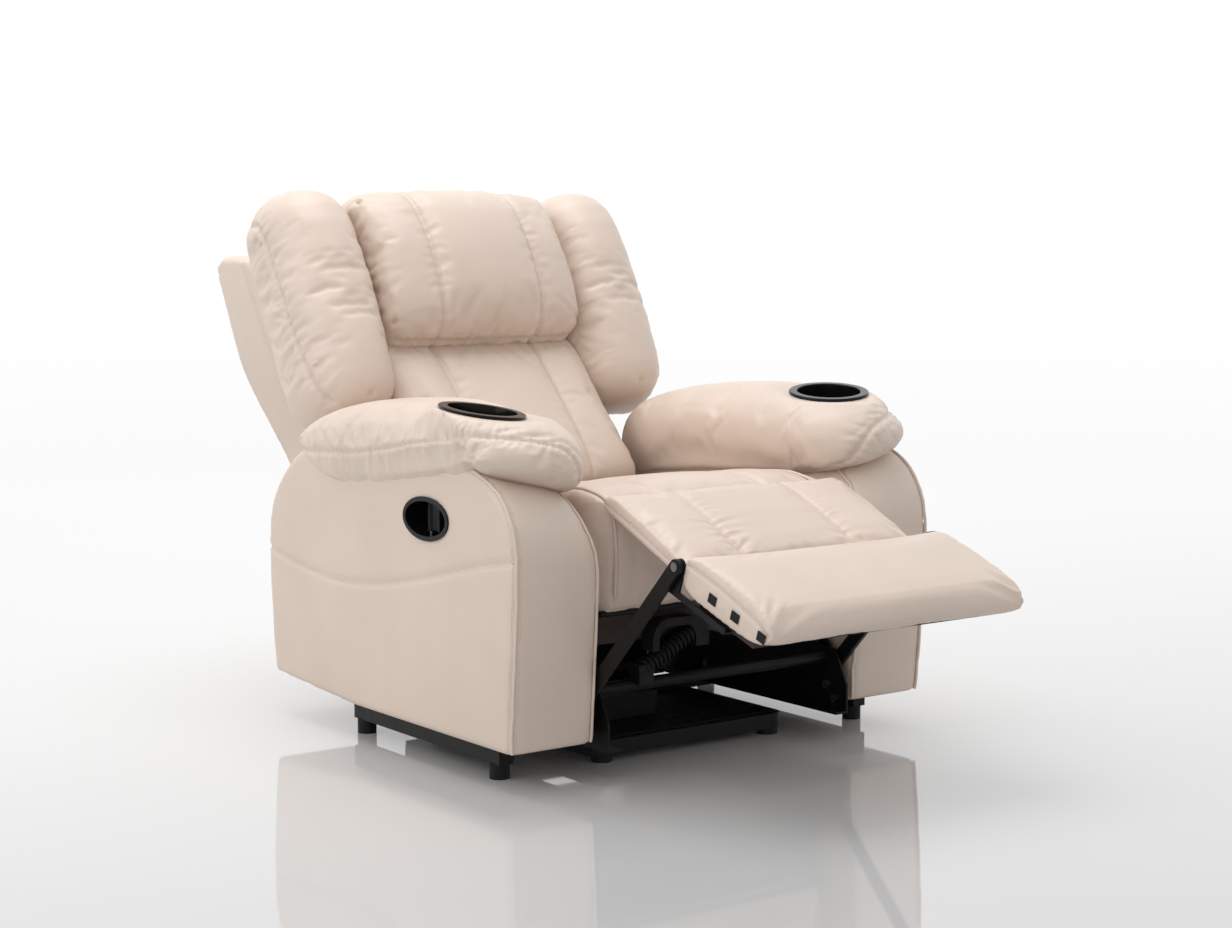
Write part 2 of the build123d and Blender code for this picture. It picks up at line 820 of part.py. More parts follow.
# ---- release handle ----
def make_handle():
    """Oval recess in the right arm with a lever that swings outward on an upright pin."""
    face = -outer
    pin_x = face + lever_pin_depth
    reach = (lever_pin_y - handle_y) / (oval_length / 2 - handle_wall)
    half = (oval_height / 2 - handle_wall) * (1 - reach * reach) ** 0.5
    pin_length = 2 * half + handle_wall
    with BuildPart() as cup:
        handle_cut(handle_length, handle_height, (face - handle_proud, face), Mode.ADD)
        handle_cut(oval_length, oval_height, (face, face + handle_depth), Mode.ADD)
        wall = 2 * handle_wall
        hollow = (face - handle_proud, face + handle_depth - handle_wall)
        handle_cut(oval_length - wall, oval_height - wall, hollow)
        with Locations((pin_x, lever_pin_y, handle_z)):
            Cylinder(lever_pin_radius, pin_length, mode=Mode.SUBTRACT)
    save(cup, "handle_recess")

    with BuildPart() as pin:
        with Locations((pin_x, lever_pin_y, handle_z)):
            Cylinder(lever_pin_radius, pin_length)
    save(pin, "lever_pin")

    with BuildPart() as lever:
        tall = half - lever_end_gap
        with Locations((pin_x, lever_pin_y, handle_z)):
            Cylinder(lever_hub_radius, 2 * tall)
        x = (pin_x - lever_thickness / 2, pin_x + lever_thickness / 2)
        y = (lever_pin_y - lever_reach, lever_pin_y)
        block(x, y, (handle_z - tall + 2, handle_z + tall - 2))
        tip = (y[0], y[0] + lever_thickness)
        block((pin_x - lever_lip, pin_x), tip, (handle_z - tall + 2, handle_z + tall - 2))
        with Locations((pin_x, lever_pin_y, handle_z)):
            Cylinder(lever_pin_radius + running, pin_length, mode=Mode.SUBTRACT)
    save(lever, "release_lever")


# ---- back ----
def make_back_frame():
    """Posts, rails, webbing and pivot brackets of the reclining back."""
    post_face = back_plane_level + strap_thickness
    post_rear = post_face + post_depth
    with BuildPart() as posts:
        for side in (-1, 1):
            outline = [
                (post_face, post_bottom),
                (post_rear, post_bottom),
                (post_rear, post_top),
                (post_face, post_top),
            ]
            slab(BACK, outline, span(side, crank_in - post_width, crank_in))
    save(posts, "back_posts")

    with BuildPart() as rails:
        reach = crank_in - post_width
        for low in (post_bottom + rail_height, post_top - rail_height):
            outline = [
                (post_face, low),
                (post_rear, low),
                (post_rear, low + rail_height),
                (post_face, low + rail_height),
            ]
            slab(BACK, outline, (-reach, reach))
    save(rails, "back_rails")

    with BuildPart() as straps:
        for low in back_strap_places:
            outline = [
                (back_plane_level, low),
                (post_face, low),
                (post_face, low + strap_width),
                (back_plane_level, low + strap_width),
            ]
            slab(BACK, outline, (-crank_in, crank_in))
    save(straps, "back_webbing")

    with BuildPart() as brackets:
        for side in (-1, 1):
            layer = span(side, crank_in, crank_out)
            outline = [
                (-pivot_boss, 0),
                (0, -pivot_boss),
                (post_rear, post_bottom),
                (post_rear, post_bottom + 5 * rail_height),
                (post_face, post_bottom + 5 * rail_height),
                (post_face - board, post_bottom + rail_height),
                (-pivot_boss / 2, pivot_boss),
            ]
            slab(BACK, outline, layer)
            disc(BACK, (0, 0), pivot_boss, layer)
            disc(BACK, (0, 0), pin_radius + running, layer, Mode.SUBTRACT)
    save(brackets, "back_brackets")


def make_back_shell():
    """Wide wing shell round the back and the apron that hangs between the arms."""
    wall = skin
    with BuildPart() as shell:
        level = BACK.origin + BACK.x_dir * shell_rear
        rear_plane = Plane(origin=level, x_dir=(1, 0, 0), z_dir=BACK.x_dir)
        outline = [
            (-shell_waist, -shell_low_rear),
            (-shell_waist, -shell_waist_level),
            (-shell_half, -shell_shoulder),
            (-shell_half, -shell_top),
            (shell_half, -shell_top),
            (shell_half, -shell_shoulder),
            (shell_waist, -shell_waist_level),
            (shell_waist, -shell_low_rear),
        ]
        with BuildSketch(rear_plane):
            with BuildLine():
                Polyline(*outline, close=True)
            make_face()
            corners = outline[3:5]
            fillet([v for v in vertices() if (round(v.X), round(v.Y)) in
                    [(round(x), round(y)) for x, y in corners]], shell_corner)
        extrude(amount=back_plane_level - shell_rear)
        with BuildSketch(rear_plane.offset(-wall)):
            with BuildLine():
                Polyline(*outline, close=True)
            make_face()
            offset(amount=-wall)
        extrude(amount=back_plane_level - shell_rear, mode=Mode.SUBTRACT)
        under = [
            (back_plane_level - wall, shell_low_front),
            (back_plane_level, shell_low_front),
            (shell_rear, shell_low_rear),
            (shell_rear, -shell_low_rear),
            (back_plane_level - wall, -shell_low_rear),
        ]
        slab(BACK, under, (-shell_half, shell_half), Mode.SUBTRACT)
    save(shell, "back_shell")

    post_rear = back_plane_level + strap_thickness + post_depth
    with BuildPart() as apron:
        outline = [
            (post_rear, apron_low),
            (post_rear + apron_thickness, apron_low),
            (post_rear + apron_thickness, apron_high),
            (post_rear, apron_high),
        ]
        slab(BACK, outline, (-apron_half, apron_half))
    save(apron, "back_apron")


def make_back_cushions():
    """Side bolsters, headrest and lumbar pad."""
    flat = back_plane_level
    for side, name in ((-1, "right"), (1, "left")):
        with BuildPart() as bolster:
            outline = [
                (flat, bolster_low + bolster_edge),
                (flat, bolster_high - bolster_edge),
                (flat - 3 * bolster_edge, bolster_high),
                *shifted(bolster_crown, bolster_front, bolster_high),
                *shifted(bolster_heel, bolster_front, bolster_low),
                (flat - 5 * bolster_edge, bolster_low),
            ]
            slab(BACK, outline, span(side, bolster_in, bolster_out))
        save(bolster, f"back_bolster_{name}")

    with BuildPart() as headrest:
        outline = [
            (flat, head_low),
            (flat, head_high - head_edge),
            (flat - 2 * head_edge, head_high),
            *shifted(head_crown, 0, head_high),
            *shifted(head_heel, 0, head_low),
        ]
        slab(BACK, outline, (-head_half, head_half))
    save(headrest, "headrest")

    with BuildPart() as lumbar:
        outline = [
            (flat, lumbar_low),
            (flat, lumbar_high),
            *shifted(lumbar_crown, 0, lumbar_high),
            *shifted(lumbar_heel, 0, lumbar_low),
        ]
        slab(BACK, outline, (-lumbar_half, lumbar_half))
    save(lumbar, "lumbar_cushion")


# ---- drive unit and control box ----
def make_drive():
    """Arched drive cover on the seat rail, its ribbed barrel, and the box on the pan."""
    depth = (drive_front, seat_rail_front)
    with BuildPart() as housing:
        block((drive_left, drive_right), depth, (drive_low, drive_high))
        fillet(housing.edges().filter_by(Axis.Y).sort_by(Axis.Z)[-2:], drive_round)
        with BuildPart(mode=Mode.SUBTRACT) as inside:
            x = (drive_left + drive_wall, drive_right - 2 * drive_wall)
            y = (drive_front, seat_rail_front - drive_back)
            block(x, y, (drive_low, drive_high - drive_wall))
            edges = inside.edges().filter_by(Axis.Y).sort_by(Axis.Z)[-2:]
            fillet(edges, drive_round - drive_wall)
        cut = (saddle_left, saddle_right)
        y = (drive_front, tube_front_y + tube_front_radius)
        block(cut, y, (tube_front_z, saddle_top))
        disc(SIDE, (tube_front_y, tube_front_z), tube_front_radius, cut, Mode.SUBTRACT)
    save(housing, "drive_housing")

    axis = Vector(barrel_end[0] - barrel_start[0], 0, barrel_end[1] - barrel_start[1])
    start = (barrel_start[0], barrel_y, barrel_start[1])
    along = Plane(origin=start, x_dir=(0, 1, 0), z_dir=axis)
    with BuildPart() as barrel:
        round_cut(along, barrel_radius, 0, axis.length, Mode.ADD)
        pitch = axis.length / rib_count
        for number in range(1, rib_count):
            low = pitch * (number + 0.3)
            round_cut(along, rib_radius, low, low + pitch * 0.4, Mode.ADD)
        add(housing.part, mode=Mode.SUBTRACT)
    save(barrel, "drive_barrel")

    floor = base_high + pan_thickness
    with BuildPart() as box:
        block((box_left, box_right), (box_front, box_rear), (floor, floor + box_height))
        fillet(box.edges().filter_by(Axis.Z), box_round)
        pitch = (box_right - box_left) / (vent_count + 1)
        middle = (box_front + box_rear) / 2
        top = (floor + box_height - vent_depth, floor + box_height)
        for number in range(vent_count):
            x = box_left + pitch * (number + 1)
            y = (middle - vent_length / 2, middle + vent_length / 2)
            block((x - vent_width / 2, x + vent_width / 2), y, top, Mode.SUBTRACT)
    save(box, "control_box")


make_base()
make_skids()
make_side_plates()
make_cranks()
make_links()
make_footrest()
make_flap()
make_seat()
for arm_side, arm_name in ((-1, "right"), (1, "left")):
    make_arm(arm_side, arm_name)
    make_pad(arm_side, arm_name)
make_handle()
make_back_frame()
make_back_shell()
make_back_cushions()
make_drive()
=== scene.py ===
"""Recliner armchair: leather upholstery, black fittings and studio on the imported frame."""
import json
import math

import bpy
import numpy as np
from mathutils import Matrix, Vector
from mathutils.bvhtree import BVHTree
from mathutils.kdtree import KDTree


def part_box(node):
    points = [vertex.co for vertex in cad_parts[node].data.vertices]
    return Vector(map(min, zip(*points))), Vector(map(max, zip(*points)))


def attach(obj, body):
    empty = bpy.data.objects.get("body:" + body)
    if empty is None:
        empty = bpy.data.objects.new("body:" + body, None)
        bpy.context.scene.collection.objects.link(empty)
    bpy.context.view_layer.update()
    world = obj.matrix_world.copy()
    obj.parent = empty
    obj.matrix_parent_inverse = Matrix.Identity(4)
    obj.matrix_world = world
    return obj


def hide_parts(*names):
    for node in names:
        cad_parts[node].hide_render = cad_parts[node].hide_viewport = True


bl_info = {
    "name": "Recliner armchair",
    "version": (1, 0, 0),
    "blender": (4, 5, 0),
    "location": "View3D > Sidebar > Recliner",
    "description": "Builds a padded leather recliner on its packed frame",
    "category": "Object",
}

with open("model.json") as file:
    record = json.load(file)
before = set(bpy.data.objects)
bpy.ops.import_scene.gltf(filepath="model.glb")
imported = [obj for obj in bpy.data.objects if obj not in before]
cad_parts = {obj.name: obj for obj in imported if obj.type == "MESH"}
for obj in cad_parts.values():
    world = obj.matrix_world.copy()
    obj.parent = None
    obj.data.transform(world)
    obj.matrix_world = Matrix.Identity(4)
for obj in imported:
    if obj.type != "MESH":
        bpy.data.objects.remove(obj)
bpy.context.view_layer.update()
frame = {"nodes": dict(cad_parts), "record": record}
JOINTS = {j["name"]: j for j in frame["record"]["behaviour"]["joints"]}


# ---- places read from the frame ----
def joint_place(name):
    """Pivot of a joint in the side view."""
    return JOINTS[name]["pos_m"]


class View:
    """A flat drawing frame across the chair: two directions of the side view."""

    def __init__(self, origin, angle):
        self.origin = Vector((0.0, origin[1], origin[2]))
        self.along = Vector((0.0, math.cos(angle), math.sin(angle)))
        self.up = Vector((0.0, -math.sin(angle), math.cos(angle)))

    def flip(self):
        """The same frame with its second direction turned over."""
        self.up = -self.up
        return self

    def point(self, x, first, second):
        """Place of a drawn point at a distance from the chair's middle."""
        place = self.origin + self.along * first + self.up * second
        return Vector((x, place.y, place.z))


SIDE = View((0, 0, 0), 0.0)
BACK = View(joint_place("back_recline"), math.radians(-28.0))
FOOT = View(joint_place("footrest_tilt"), math.radians(200.0)).flip()
FLAP = View(joint_place("flap_swing"), math.radians(203.8)).flip()


# ---- mesh helpers ----
def only(piece):
    """Select one object and make it active."""
    bpy.ops.object.select_all(action="DESELECT")
    piece.select_set(True)
    bpy.context.view_layer.objects.active = piece


def coords(piece):
    """Vertex places as an array."""
    flat = np.empty(len(piece.data.vertices) * 3)
    piece.data.vertices.foreach_get("co", flat)
    return flat.reshape(-1, 3)


def set_coords(piece, places):
    """Write vertex places back."""
    piece.data.vertices.foreach_set("co", places.reshape(-1))
    piece.data.update()


def normals(piece):
    """Vertex normals as an array."""
    flat = np.empty(len(piece.data.vertices) * 3)
    piece.data.vertex_normals.foreach_get("vector", flat)
    return flat.reshape(-1, 3)


def apply_modifier(piece, kind, **settings):
    """Add a modifier with its settings and apply it."""
    only(piece)
    modifier = piece.modifiers.new(kind.title(), kind)
    for key, value in settings.items():
        setattr(modifier, key, value)
    bpy.ops.object.modifier_apply(modifier=modifier.name)


def prism(name, view, outline, low, high):
    """Closed solid with a drawn side outline, from one distance to another."""
    count = len(outline)
    places = [view.point(x, *p) for x in (low, high) for p in outline]
    faces = [tuple(range(count)), tuple(range(2 * count - 1, count - 1, -1))]
    for i in range(count):
        j = (i + 1) % count
        faces.append((j, i, count + i, count + j))
    mesh = bpy.data.meshes.new(name)
    mesh.from_pydata([tuple(p) for p in places], [], faces)
    piece = bpy.data.objects.new(name, mesh)
    bpy.context.scene.collection.objects.link(piece)
    only(piece)
    bpy.ops.object.mode_set(mode="EDIT")
    bpy.ops.mesh.select_all(action="SELECT")
    bpy.ops.mesh.normals_make_consistent(inside=False)
    bpy.ops.object.mode_set(mode="OBJECT")
    return piece


def round_edges(piece, width, segments=4):
    """Round every edge of a solid."""
    apply_modifier(piece, "BEVEL", width=width, segments=segments, limit_method="ANGLE",
                   angle_limit=math.radians(25))


def remesh(piece, fine):
    size = fine
    apply_modifier(piece, "REMESH", mode="VOXEL", voxel_size=size, use_smooth_shade=True)


def relax(piece, times, factor=0.5):
    """Smooth a mesh a little."""
    apply_modifier(piece, "SMOOTH", iterations=times, factor=factor)


def dense(points, step=0.004):
    """Points at an even step along a line."""
    out = []
    for a, b in zip(points, points[1:]):
        a, b = Vector(a), Vector(b)
        count = max(1, int((b - a).length / step))
        out += [a.lerp(b, i / count) for i in range(count)]
    return out + [Vector(points[-1])]


def smooth_line(points, times=2):
    """Corner-cut line through a few points."""
    points = [Vector(p) for p in points]
    for _ in range(times):
        cut = [points[0]]
        for a, b in zip(points, points[1:]):
            cut += [a.lerp(b, 0.25), a.lerp(b, 0.75)]
        points = cut + [points[-1]]
    return points


def across(view, outline, x):
    """Seam that follows part of a side outline at one distance from the middle."""
    return dense([view.point(x, *p) for p in outline])


def near_seam(piece, seams):
    """Distance of every vertex from the nearest seam, and its place along it."""
    points, headings, runs = [], [], []
    for number, seam in enumerate(seams):
        run = number * 1.37
        for a, b in zip(seam, seam[1:]):
            points.append(a)
            headings.append((b - a).normalized())
            runs.append(run)
            run += (b - a).length
    tree = KDTree(len(points))
    for i, p in enumerate(points):
        tree.insert(p, i)
    tree.balance()
    found = [tree.find(p)[1] for p in coords(piece)]
    offset = coords(piece) - np.array(points)[found]
    heading = np.array(headings)[found]
    along = np.clip((offset * heading).sum(axis=1), -0.006, 0.006)
    gap = np.linalg.norm(offset - along[:, None] * heading, axis=1)
    return gap, np.array(runs)[found] + along


def swell(piece, seams, pressure, growth=0.03, cap=0.02, pin=0.006, frames=16):
    """Blow a cushion up between its seams with a cloth simulation."""
    if not pressure:
        return
    before = coords(piece)
    gap, _ = near_seam(piece, seams)
    group = piece.vertex_groups.new(name="sewn")
    group.add([int(i) for i in np.nonzero(gap < pin)[0]], 1.0, "REPLACE")
    only(piece)
    cloth = piece.modifiers.new("Cloth", "CLOTH")
    settings = cloth.settings
    settings.quality = 5
    settings.mass = 0.3
    settings.tension_stiffness = 12
    settings.compression_stiffness = 12
    settings.shear_stiffness = 6
    settings.bending_stiffness = 0.6
    settings.use_pressure = True
    settings.uniform_pressure_force = pressure
    settings.shrink_min = -growth
    settings.effector_weights.gravity = 0.0
    settings.vertex_group_mass = group.name
    cloth.collision_settings.use_collision = False
    cloth.point_cache.frame_start = 1
    cloth.point_cache.frame_end = frames
    for number in range(1, frames + 1):
        bpy.context.scene.frame_set(number)
    bpy.ops.object.modifier_apply(modifier=cloth.name)
    bpy.context.scene.frame_set(1)
    moved = coords(piece) - before
    size = np.linalg.norm(moved, axis=1, keepdims=True) + 1e-9
    moved *= cap * np.tanh(size / cap) / size
    set_coords(piece, before + moved)
    piece.vertex_groups.clear()


def push_out(piece, distance):
    """Move every vertex along its normal by its own distance."""
    set_coords(piece, coords(piece) + normals(piece) * distance[:, None])


def puff(piece, seams, height, reach):
    """Push a surface out away from its seams."""
    gap, _ = near_seam(piece, seams)
    push_out(piece, height * (1 - np.exp(-((gap / reach) ** 2))))


def sew(piece, seams, depth=0.004, width=0.005):
    """Draw the leather in along its seams."""
    gap, _ = near_seam(piece, seams)
    push_out(piece, -depth * np.exp(-((gap / width) ** 2)))


def gather(piece, seams, depth, reach, pitch, seed, where=None):
    """Short folds that run away from a seam, each with its own length and lean."""
    rng = np.random.default_rng(seed)
    gap, run = near_seam(piece, seams)
    near = gap < reach * 2.2
    push = np.zeros(len(run))
    for spot in np.arange(run.min(), run.max(), pitch):
        spot += rng.uniform(-0.4, 0.4) * pitch
        lean = rng.normal(0.0, 0.30)
        wide = pitch * rng.uniform(0.14, 0.30)
        far = reach * rng.uniform(0.45, 1.25)
        deep = depth * rng.uniform(0.35, 1.0)
        close = near & (np.abs(run - spot) < pitch * 3)
        if not close.any():
            continue
        aside = (run[close] - spot - lean * gap[close]) / (wide * (1 + 0.8 * gap[close] / far))
        fade = np.exp(-((gap[close] / far) ** 2)) * (1 - np.exp(-gap[close] / 0.005))
        push[close] += deep * fade * (
            0.75 * np.exp(-((np.abs(aside) - 1.9) ** 2)) - np.exp(-aside ** 2))
    if where is not None:
        push *= where
    push_out(piece, push)


def ripple(piece, spots, seed):
    """Long soft folds that fan out from a few places."""
    rng = np.random.default_rng(seed)
    places = coords(piece)
    push = np.zeros(len(places))
    for middle, heading, side, length, depth in spots:
        middle, heading, side = np.array(middle), np.array(heading), np.array(side)
        for turn in (-0.9, -0.5, -0.15, 0.2, 0.55, 0.95):
            turn += rng.uniform(-0.1, 0.1)
            way = heading * math.cos(turn) + side * math.sin(turn)
            away = -heading * math.sin(turn) + side * math.cos(turn)
            offset = places - middle
            ahead = offset @ way
            aside = offset @ away
            reach = length * rng.uniform(0.6, 1.1)
            wide = 0.0045 + 0.05 * np.clip(ahead, 0, None)
            fade = np.clip(1 - ahead / reach, 0, 1) ** 1.3 * (ahead > 0)
            off = np.linalg.norm(offset - ahead[:, None] * way - aside[:, None] * away, axis=1)
            fade *= np.exp(-((off / 0.08) ** 2))
            push += depth * rng.uniform(0.5, 1) * fade * (
                0.6 * np.exp(-((np.abs(aside / wide) - 1.9) ** 2)) - np.exp(-((aside / wide) ** 2)))
    push_out(piece, push)


def drawn(piece, line):
    """A line moved on to a piece's surface."""
    tree = surface_tree(piece)
    return [tree.find_nearest(p)[0] for p in line]


def surface_tree(piece):
    """Search tree over a piece's faces."""
    return BVHTree.FromPolygons([v.co for v in piece.data.vertices],
                                [tuple(p.vertices) for p in piece.data.polygons])


def drawing(piece, view):
    """Each vertex's two places in a drawing frame, with its distance from the middle."""
    offset = coords(piece) - np.array(view.origin)
    return coords(piece)[:, 0], offset @ np.array(view.along), offset @ np.array(view.up)


def from_drawing(view, x, first, second):
    """Vertex places from a drawing frame."""
    places = (np.array(view.origin) + np.outer(first, np.array(view.along))
              + np.outer(second, np.array(view.up)))
    places[:, 0] = x
    return places


def pillow(piece, view, middle, half, ends, reach, corner, crown):
    """Round a block's ends off and crown its face, like a stuffed pillow."""
    x, first, second = drawing(piece, view)
    low, high = ends
    up = np.clip((second - (high - reach)) / reach, 0, 1)
    down = np.clip((low + reach - second) / reach, 0, 1)
    keep = np.sqrt(1 - up ** 2) * np.sqrt(1 - down ** 2)
    share = np.clip((x - middle) / half, -1, 1)
    front = np.clip((0.04 - first) / 0.12, 0, 1)
    first = first + crown * np.abs(share) ** 2.4 * front
    set_coords(piece, from_drawing(view, x - share * corner * (1 - keep), first, second))


def finish_soft(piece, body, nodes, levels=1):
    """Smooth shading, leather, and the links to the frame."""
    if levels:
        apply_modifier(piece, "SUBSURF", levels=levels)
    only(piece)
    bpy.ops.object.shade_smooth()
    piece.data.materials.clear()
    piece.data.materials.append(material("leather"))
    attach(piece, body)
    if nodes:
        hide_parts(*nodes)


def welt(name, body, lines, radius, finish="leather"):
    """Thin covered cord sewn along an edge."""
    shape = bpy.data.curves.new(name, "CURVE")
    shape.dimensions = "3D"
    shape.bevel_depth = radius
    shape.bevel_resolution = 2
    shape.use_fill_caps = True
    for line in lines:
        spline = shape.splines.new("POLY")
        points = line[::2] + [line[-1]]
        spline.points.add(len(points) - 1)
        for spot, place in zip(spline.points, points):
            spot.co = (*place, 1.0)
    cord = bpy.data.objects.new(name, shape)
    bpy.context.scene.collection.objects.link(cord)
    only(cord)
    bpy.ops.object.convert(target="MESH")
    bpy.ops.object.shade_smooth()
    cord = bpy.context.object
    cord.data.materials.append(material(finish))
    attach(cord, body)


def stitch_row(verts, faces, tree, line, offset, length=0.0050, gap=0.0025, width=0.0008):
    """One row of thread stitches laid on a surface beside a seam."""
    run, place = 0.0, 0
    spacing = length + gap
    total = [0.0]
    for a, b in zip(line, line[1:]):
        total.append(total[-1] + (b - a).length)
    run = spacing
    while run < total[-1] - spacing:
        while total[place + 1] < run:
            place += 1
        a, b = line[place], line[place + 1]
        heading = (b - a).normalized()
        here = a.lerp(b, (run - total[place]) / max(total[place + 1] - total[place], 1e-6))
        hit = tree.find_nearest(here)
        if hit[0] is not None:
            sideways = hit[1].cross(heading).normalized()
            spot = tree.find_nearest(hit[0] + sideways * offset)
            up = spot[1]
            middle = spot[0] + up * 0.0002
            side = up.cross(heading).normalized()
            start = len(verts)
            verts += [middle - heading * length / 2, middle + heading * length / 2,
                      middle + side * width, middle - side * width, middle + up * width * 1.3]
            faces += [(start, start + 2, start + 4), (start + 2, start + 1, start + 4),
                      (start + 1, start + 3, start + 4), (start + 3, start, start + 4)]
        run += spacing


def stitches(name, piece, body, lines, offsets=(0.004,)):
    """Thread stitches along the seams of a finished piece."""
    tree = surface_tree(piece)
    verts, faces = [], []
    for line in lines:
        for offset in offsets:
            stitch_row(verts, faces, tree, line, offset)
    mesh = bpy.data.meshes.new(name)
    mesh.from_pydata([tuple(v) for v in verts], [], faces)
    thread = bpy.data.objects.new(name, mesh)
    bpy.context.scene.collection.objects.link(thread)
    thread.data.materials.append(material("thread"))
    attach(thread, body)
    return thread


# ---- materials ----
class Graph:
    """One material and its nodes."""

    def __init__(self, name):
        self.made = bpy.data.materials.new(f"recliner {name}")
        self.made.use_nodes = True
        self.tree = self.made.node_tree
        self.shader = self.tree.nodes["Principled BSDF"]

    def add(self, kind, settings=None, inputs=(), out=0):
        """Add a node, set it up, join its inputs, and give one output."""
        made = self.tree.nodes.new(kind)
        for key, value in (settings or {}).items():
            setattr(made, key, value)
        pairs = inputs.items() if isinstance(inputs, dict) else enumerate(inputs)
        for key, value in pairs:
            self.join(made.inputs[key], value)
        return made.outputs[out]

    def join(self, target, value):
        """Link a socket or set a plain value."""
        if isinstance(value, bpy.types.NodeSocket):
            self.tree.links.new(value, target)
        else:
            target.default_value = value

    def place(self, scale=(1, 1, 1)):
        """Object coordinates, stretched."""
        source = self.add("ShaderNodeTexCoord", out=3)
        return self.add("ShaderNodeMapping", inputs={"Vector": source, "Scale": scale})

    def noise(self, size, detail=4, scale=(1, 1, 1), rough=0.5):
        """Soft noise between 0 and 1."""
        return self.add("ShaderNodeTexNoise", inputs={
            "Vector": self.place(scale), "Scale": size, "Detail": detail, "Roughness": rough})

    def cells(self, size, feature="F1", scale=(1, 1, 1)):
        """Distance to scattered points."""
        return self.add("ShaderNodeTexVoronoi", {"feature": feature}, {
            "Vector": self.place(scale), "Scale": size})

    def blend(self, factor, first, second):
        """Mix of two colours."""
        return self.add("ShaderNodeMix", {"data_type": "RGBA"}, {
            0: factor, 6: first, 7: second}, out=2)

    def spread(self, value, low, high, to_low=0.0, to_high=1.0):
        """Remap a value to another range."""
        return self.add("ShaderNodeMapRange", inputs=(value, low, high, to_low, to_high))

    def bump(self, height, strength, distance, under=None):
        """Small relief."""
        inputs = {"Strength": strength, "Distance": distance, "Height": height}
        if under:
            inputs["Normal"] = under
        return self.add("ShaderNodeBump", inputs=inputs)

    def surface(self, **values):
        """Set the surface's inputs."""
        for key, value in values.items():
            self.join(self.shader.inputs[key.replace("_", " ")], value)
        return self.made


def colour(value, dark=1.0):
    """Four-part colour from a stored one."""
    return (value[0] * dark, value[1] * dark, value[2] * dark, 1.0)


def leather_surface(chosen):
    """Satin cream leather with a fine grain and soft creases."""
    g = Graph("leather")
    tone = g.blend(g.spread(g.noise(5.0, 3), 0.35, 0.65), colour(chosen.leather, 0.965),
                   colour(chosen.leather, 1.02))
    pores = g.cells(620.0, "DISTANCE_TO_EDGE")
    grain = g.spread(pores, 0.0, 0.12)
    folds = g.noise(26.0, 5, (1.0, 1.0, 1.6), 0.55)
    relief = g.bump(folds, 0.05, 0.004, g.bump(grain, 0.12, 0.0004))
    shine = g.spread(g.noise(40.0, 3), 0.3, 0.7, 0.36, 0.46)
    return g.surface(Base_Color=tone, Roughness=shine, Normal=relief, Specular_IOR_Level=0.45,
                     Coat_Weight=0.10, Coat_Roughness=0.35)


def thread_surface(chosen):
    """Cream sewing thread."""
    g = Graph("thread")
    tone = g.blend(g.noise(300.0, 2), colour(chosen.leather, 1.05), colour(chosen.leather, 1.25))
    return g.surface(Base_Color=tone, Roughness=0.7)


def black_surface(name, dark, rough_low, rough_high, grain, strength):
    """Black plastic or painted steel."""
    g = Graph(name)
    tone = g.blend(g.noise(30.0, 4), (dark, dark, dark * 1.05, 1),
                   (dark * 1.7, dark * 1.7, dark * 1.75, 1))
    shine = g.spread(g.noise(55.0, 4), 0.3, 0.7, rough_low, rough_high)
    relief = g.bump(g.noise(grain, 3), strength, 0.0003)
    return g.surface(Base_Color=tone, Roughness=shine, Normal=relief, Specular_IOR_Level=0.2)


def wood_surface(chosen):
    """Plain rail wood, its grain rings in a darker and a lighter tone."""
    g = Graph("wood")
    rings = g.noise(14.0, 6, (0.35, 6.0, 6.0), 0.6)
    tone = g.blend(g.spread(rings, 0.3, 0.7), colour(chosen.wood, 0.55), colour(chosen.wood, 1.0))
    relief = g.bump(rings, 0.2, 0.0006)
    return g.surface(Base_Color=tone, Roughness=0.62, Normal=relief)


def webbing_surface():
    """Black woven webbing."""
    g = Graph("webbing")
    weave = g.add("ShaderNodeTexWave", {"bands_direction": "DIAGONAL"}, {
        "Vector": g.place(), "Scale": 300.0, "Distortion": 1.0})
    tone = g.blend(weave, (0.012, 0.012, 0.013, 1), (0.035, 0.035, 0.036, 1))
    return g.surface(Base_Color=tone, Roughness=0.8, Normal=g.bump(weave, 0.4, 0.0005))


def steel_surface():
    """Zinc-plated fasteners."""
    g = Graph("zinc")
    tone = g.blend(g.noise(60.0, 4), (0.16, 0.16, 0.165, 1), (0.30, 0.30, 0.31, 1))
    return g.surface(Base_Color=tone, Metallic=1.0, Roughness=0.38)


def material(name):
    """A finished material by name."""
    return bpy.data.materials[f"recliner {name}"]


# ---- settings ----
class ReclinerLook(bpy.types.PropertyGroup):
    """Colours and the camera's lens."""

    leather: bpy.props.FloatVectorProperty(
        name="Leather", description="Colour of the leather", subtype="COLOR", size=3,
        default=(0.725, 0.60, 0.512), min=0.0, max=1.0)
    wood: bpy.props.FloatVectorProperty(
        name="Wood", description="Colour of the rails", subtype="COLOR", size=3,
        default=(0.040, 0.020, 0.014), min=0.0, max=1.0)
    # Floor colour near the chair and camera: the near, darker end of the floor's painted light
    # gradient.
    floor: bpy.props.FloatVectorProperty(
        name="Floor", description="Colour of the floor", subtype="COLOR", size=3,
        default=(0.60, 0.60, 0.602), min=0.0, max=1.0)
    lens: bpy.props.FloatProperty(
        name="Lens", description="Focal length of the camera in mm", default=65.6, min=10.0)


class ReclinerSizes(bpy.types.PropertyGroup):
    """Sizes of the upholstery that the frame doesn't set."""

    panel: bpy.props.FloatProperty(
        name="Middle panel", description="Half width of the middle channel", default=0.125,
        unit="LENGTH")
    arm_bulge: bpy.props.FloatProperty(
        name="Arm bulge", description="How far the arm's outer side swells", default=0.010,
        unit="LENGTH")
    arm_roll: bpy.props.FloatProperty(
        name="Arm roll", description="Radius of the arm's inner top edge", default=0.105,
        unit="LENGTH")
    thread_offset: bpy.props.FloatProperty(
        name="Thread offset", description="Stitch row's distance from its seam", default=0.0045,
        unit="LENGTH")


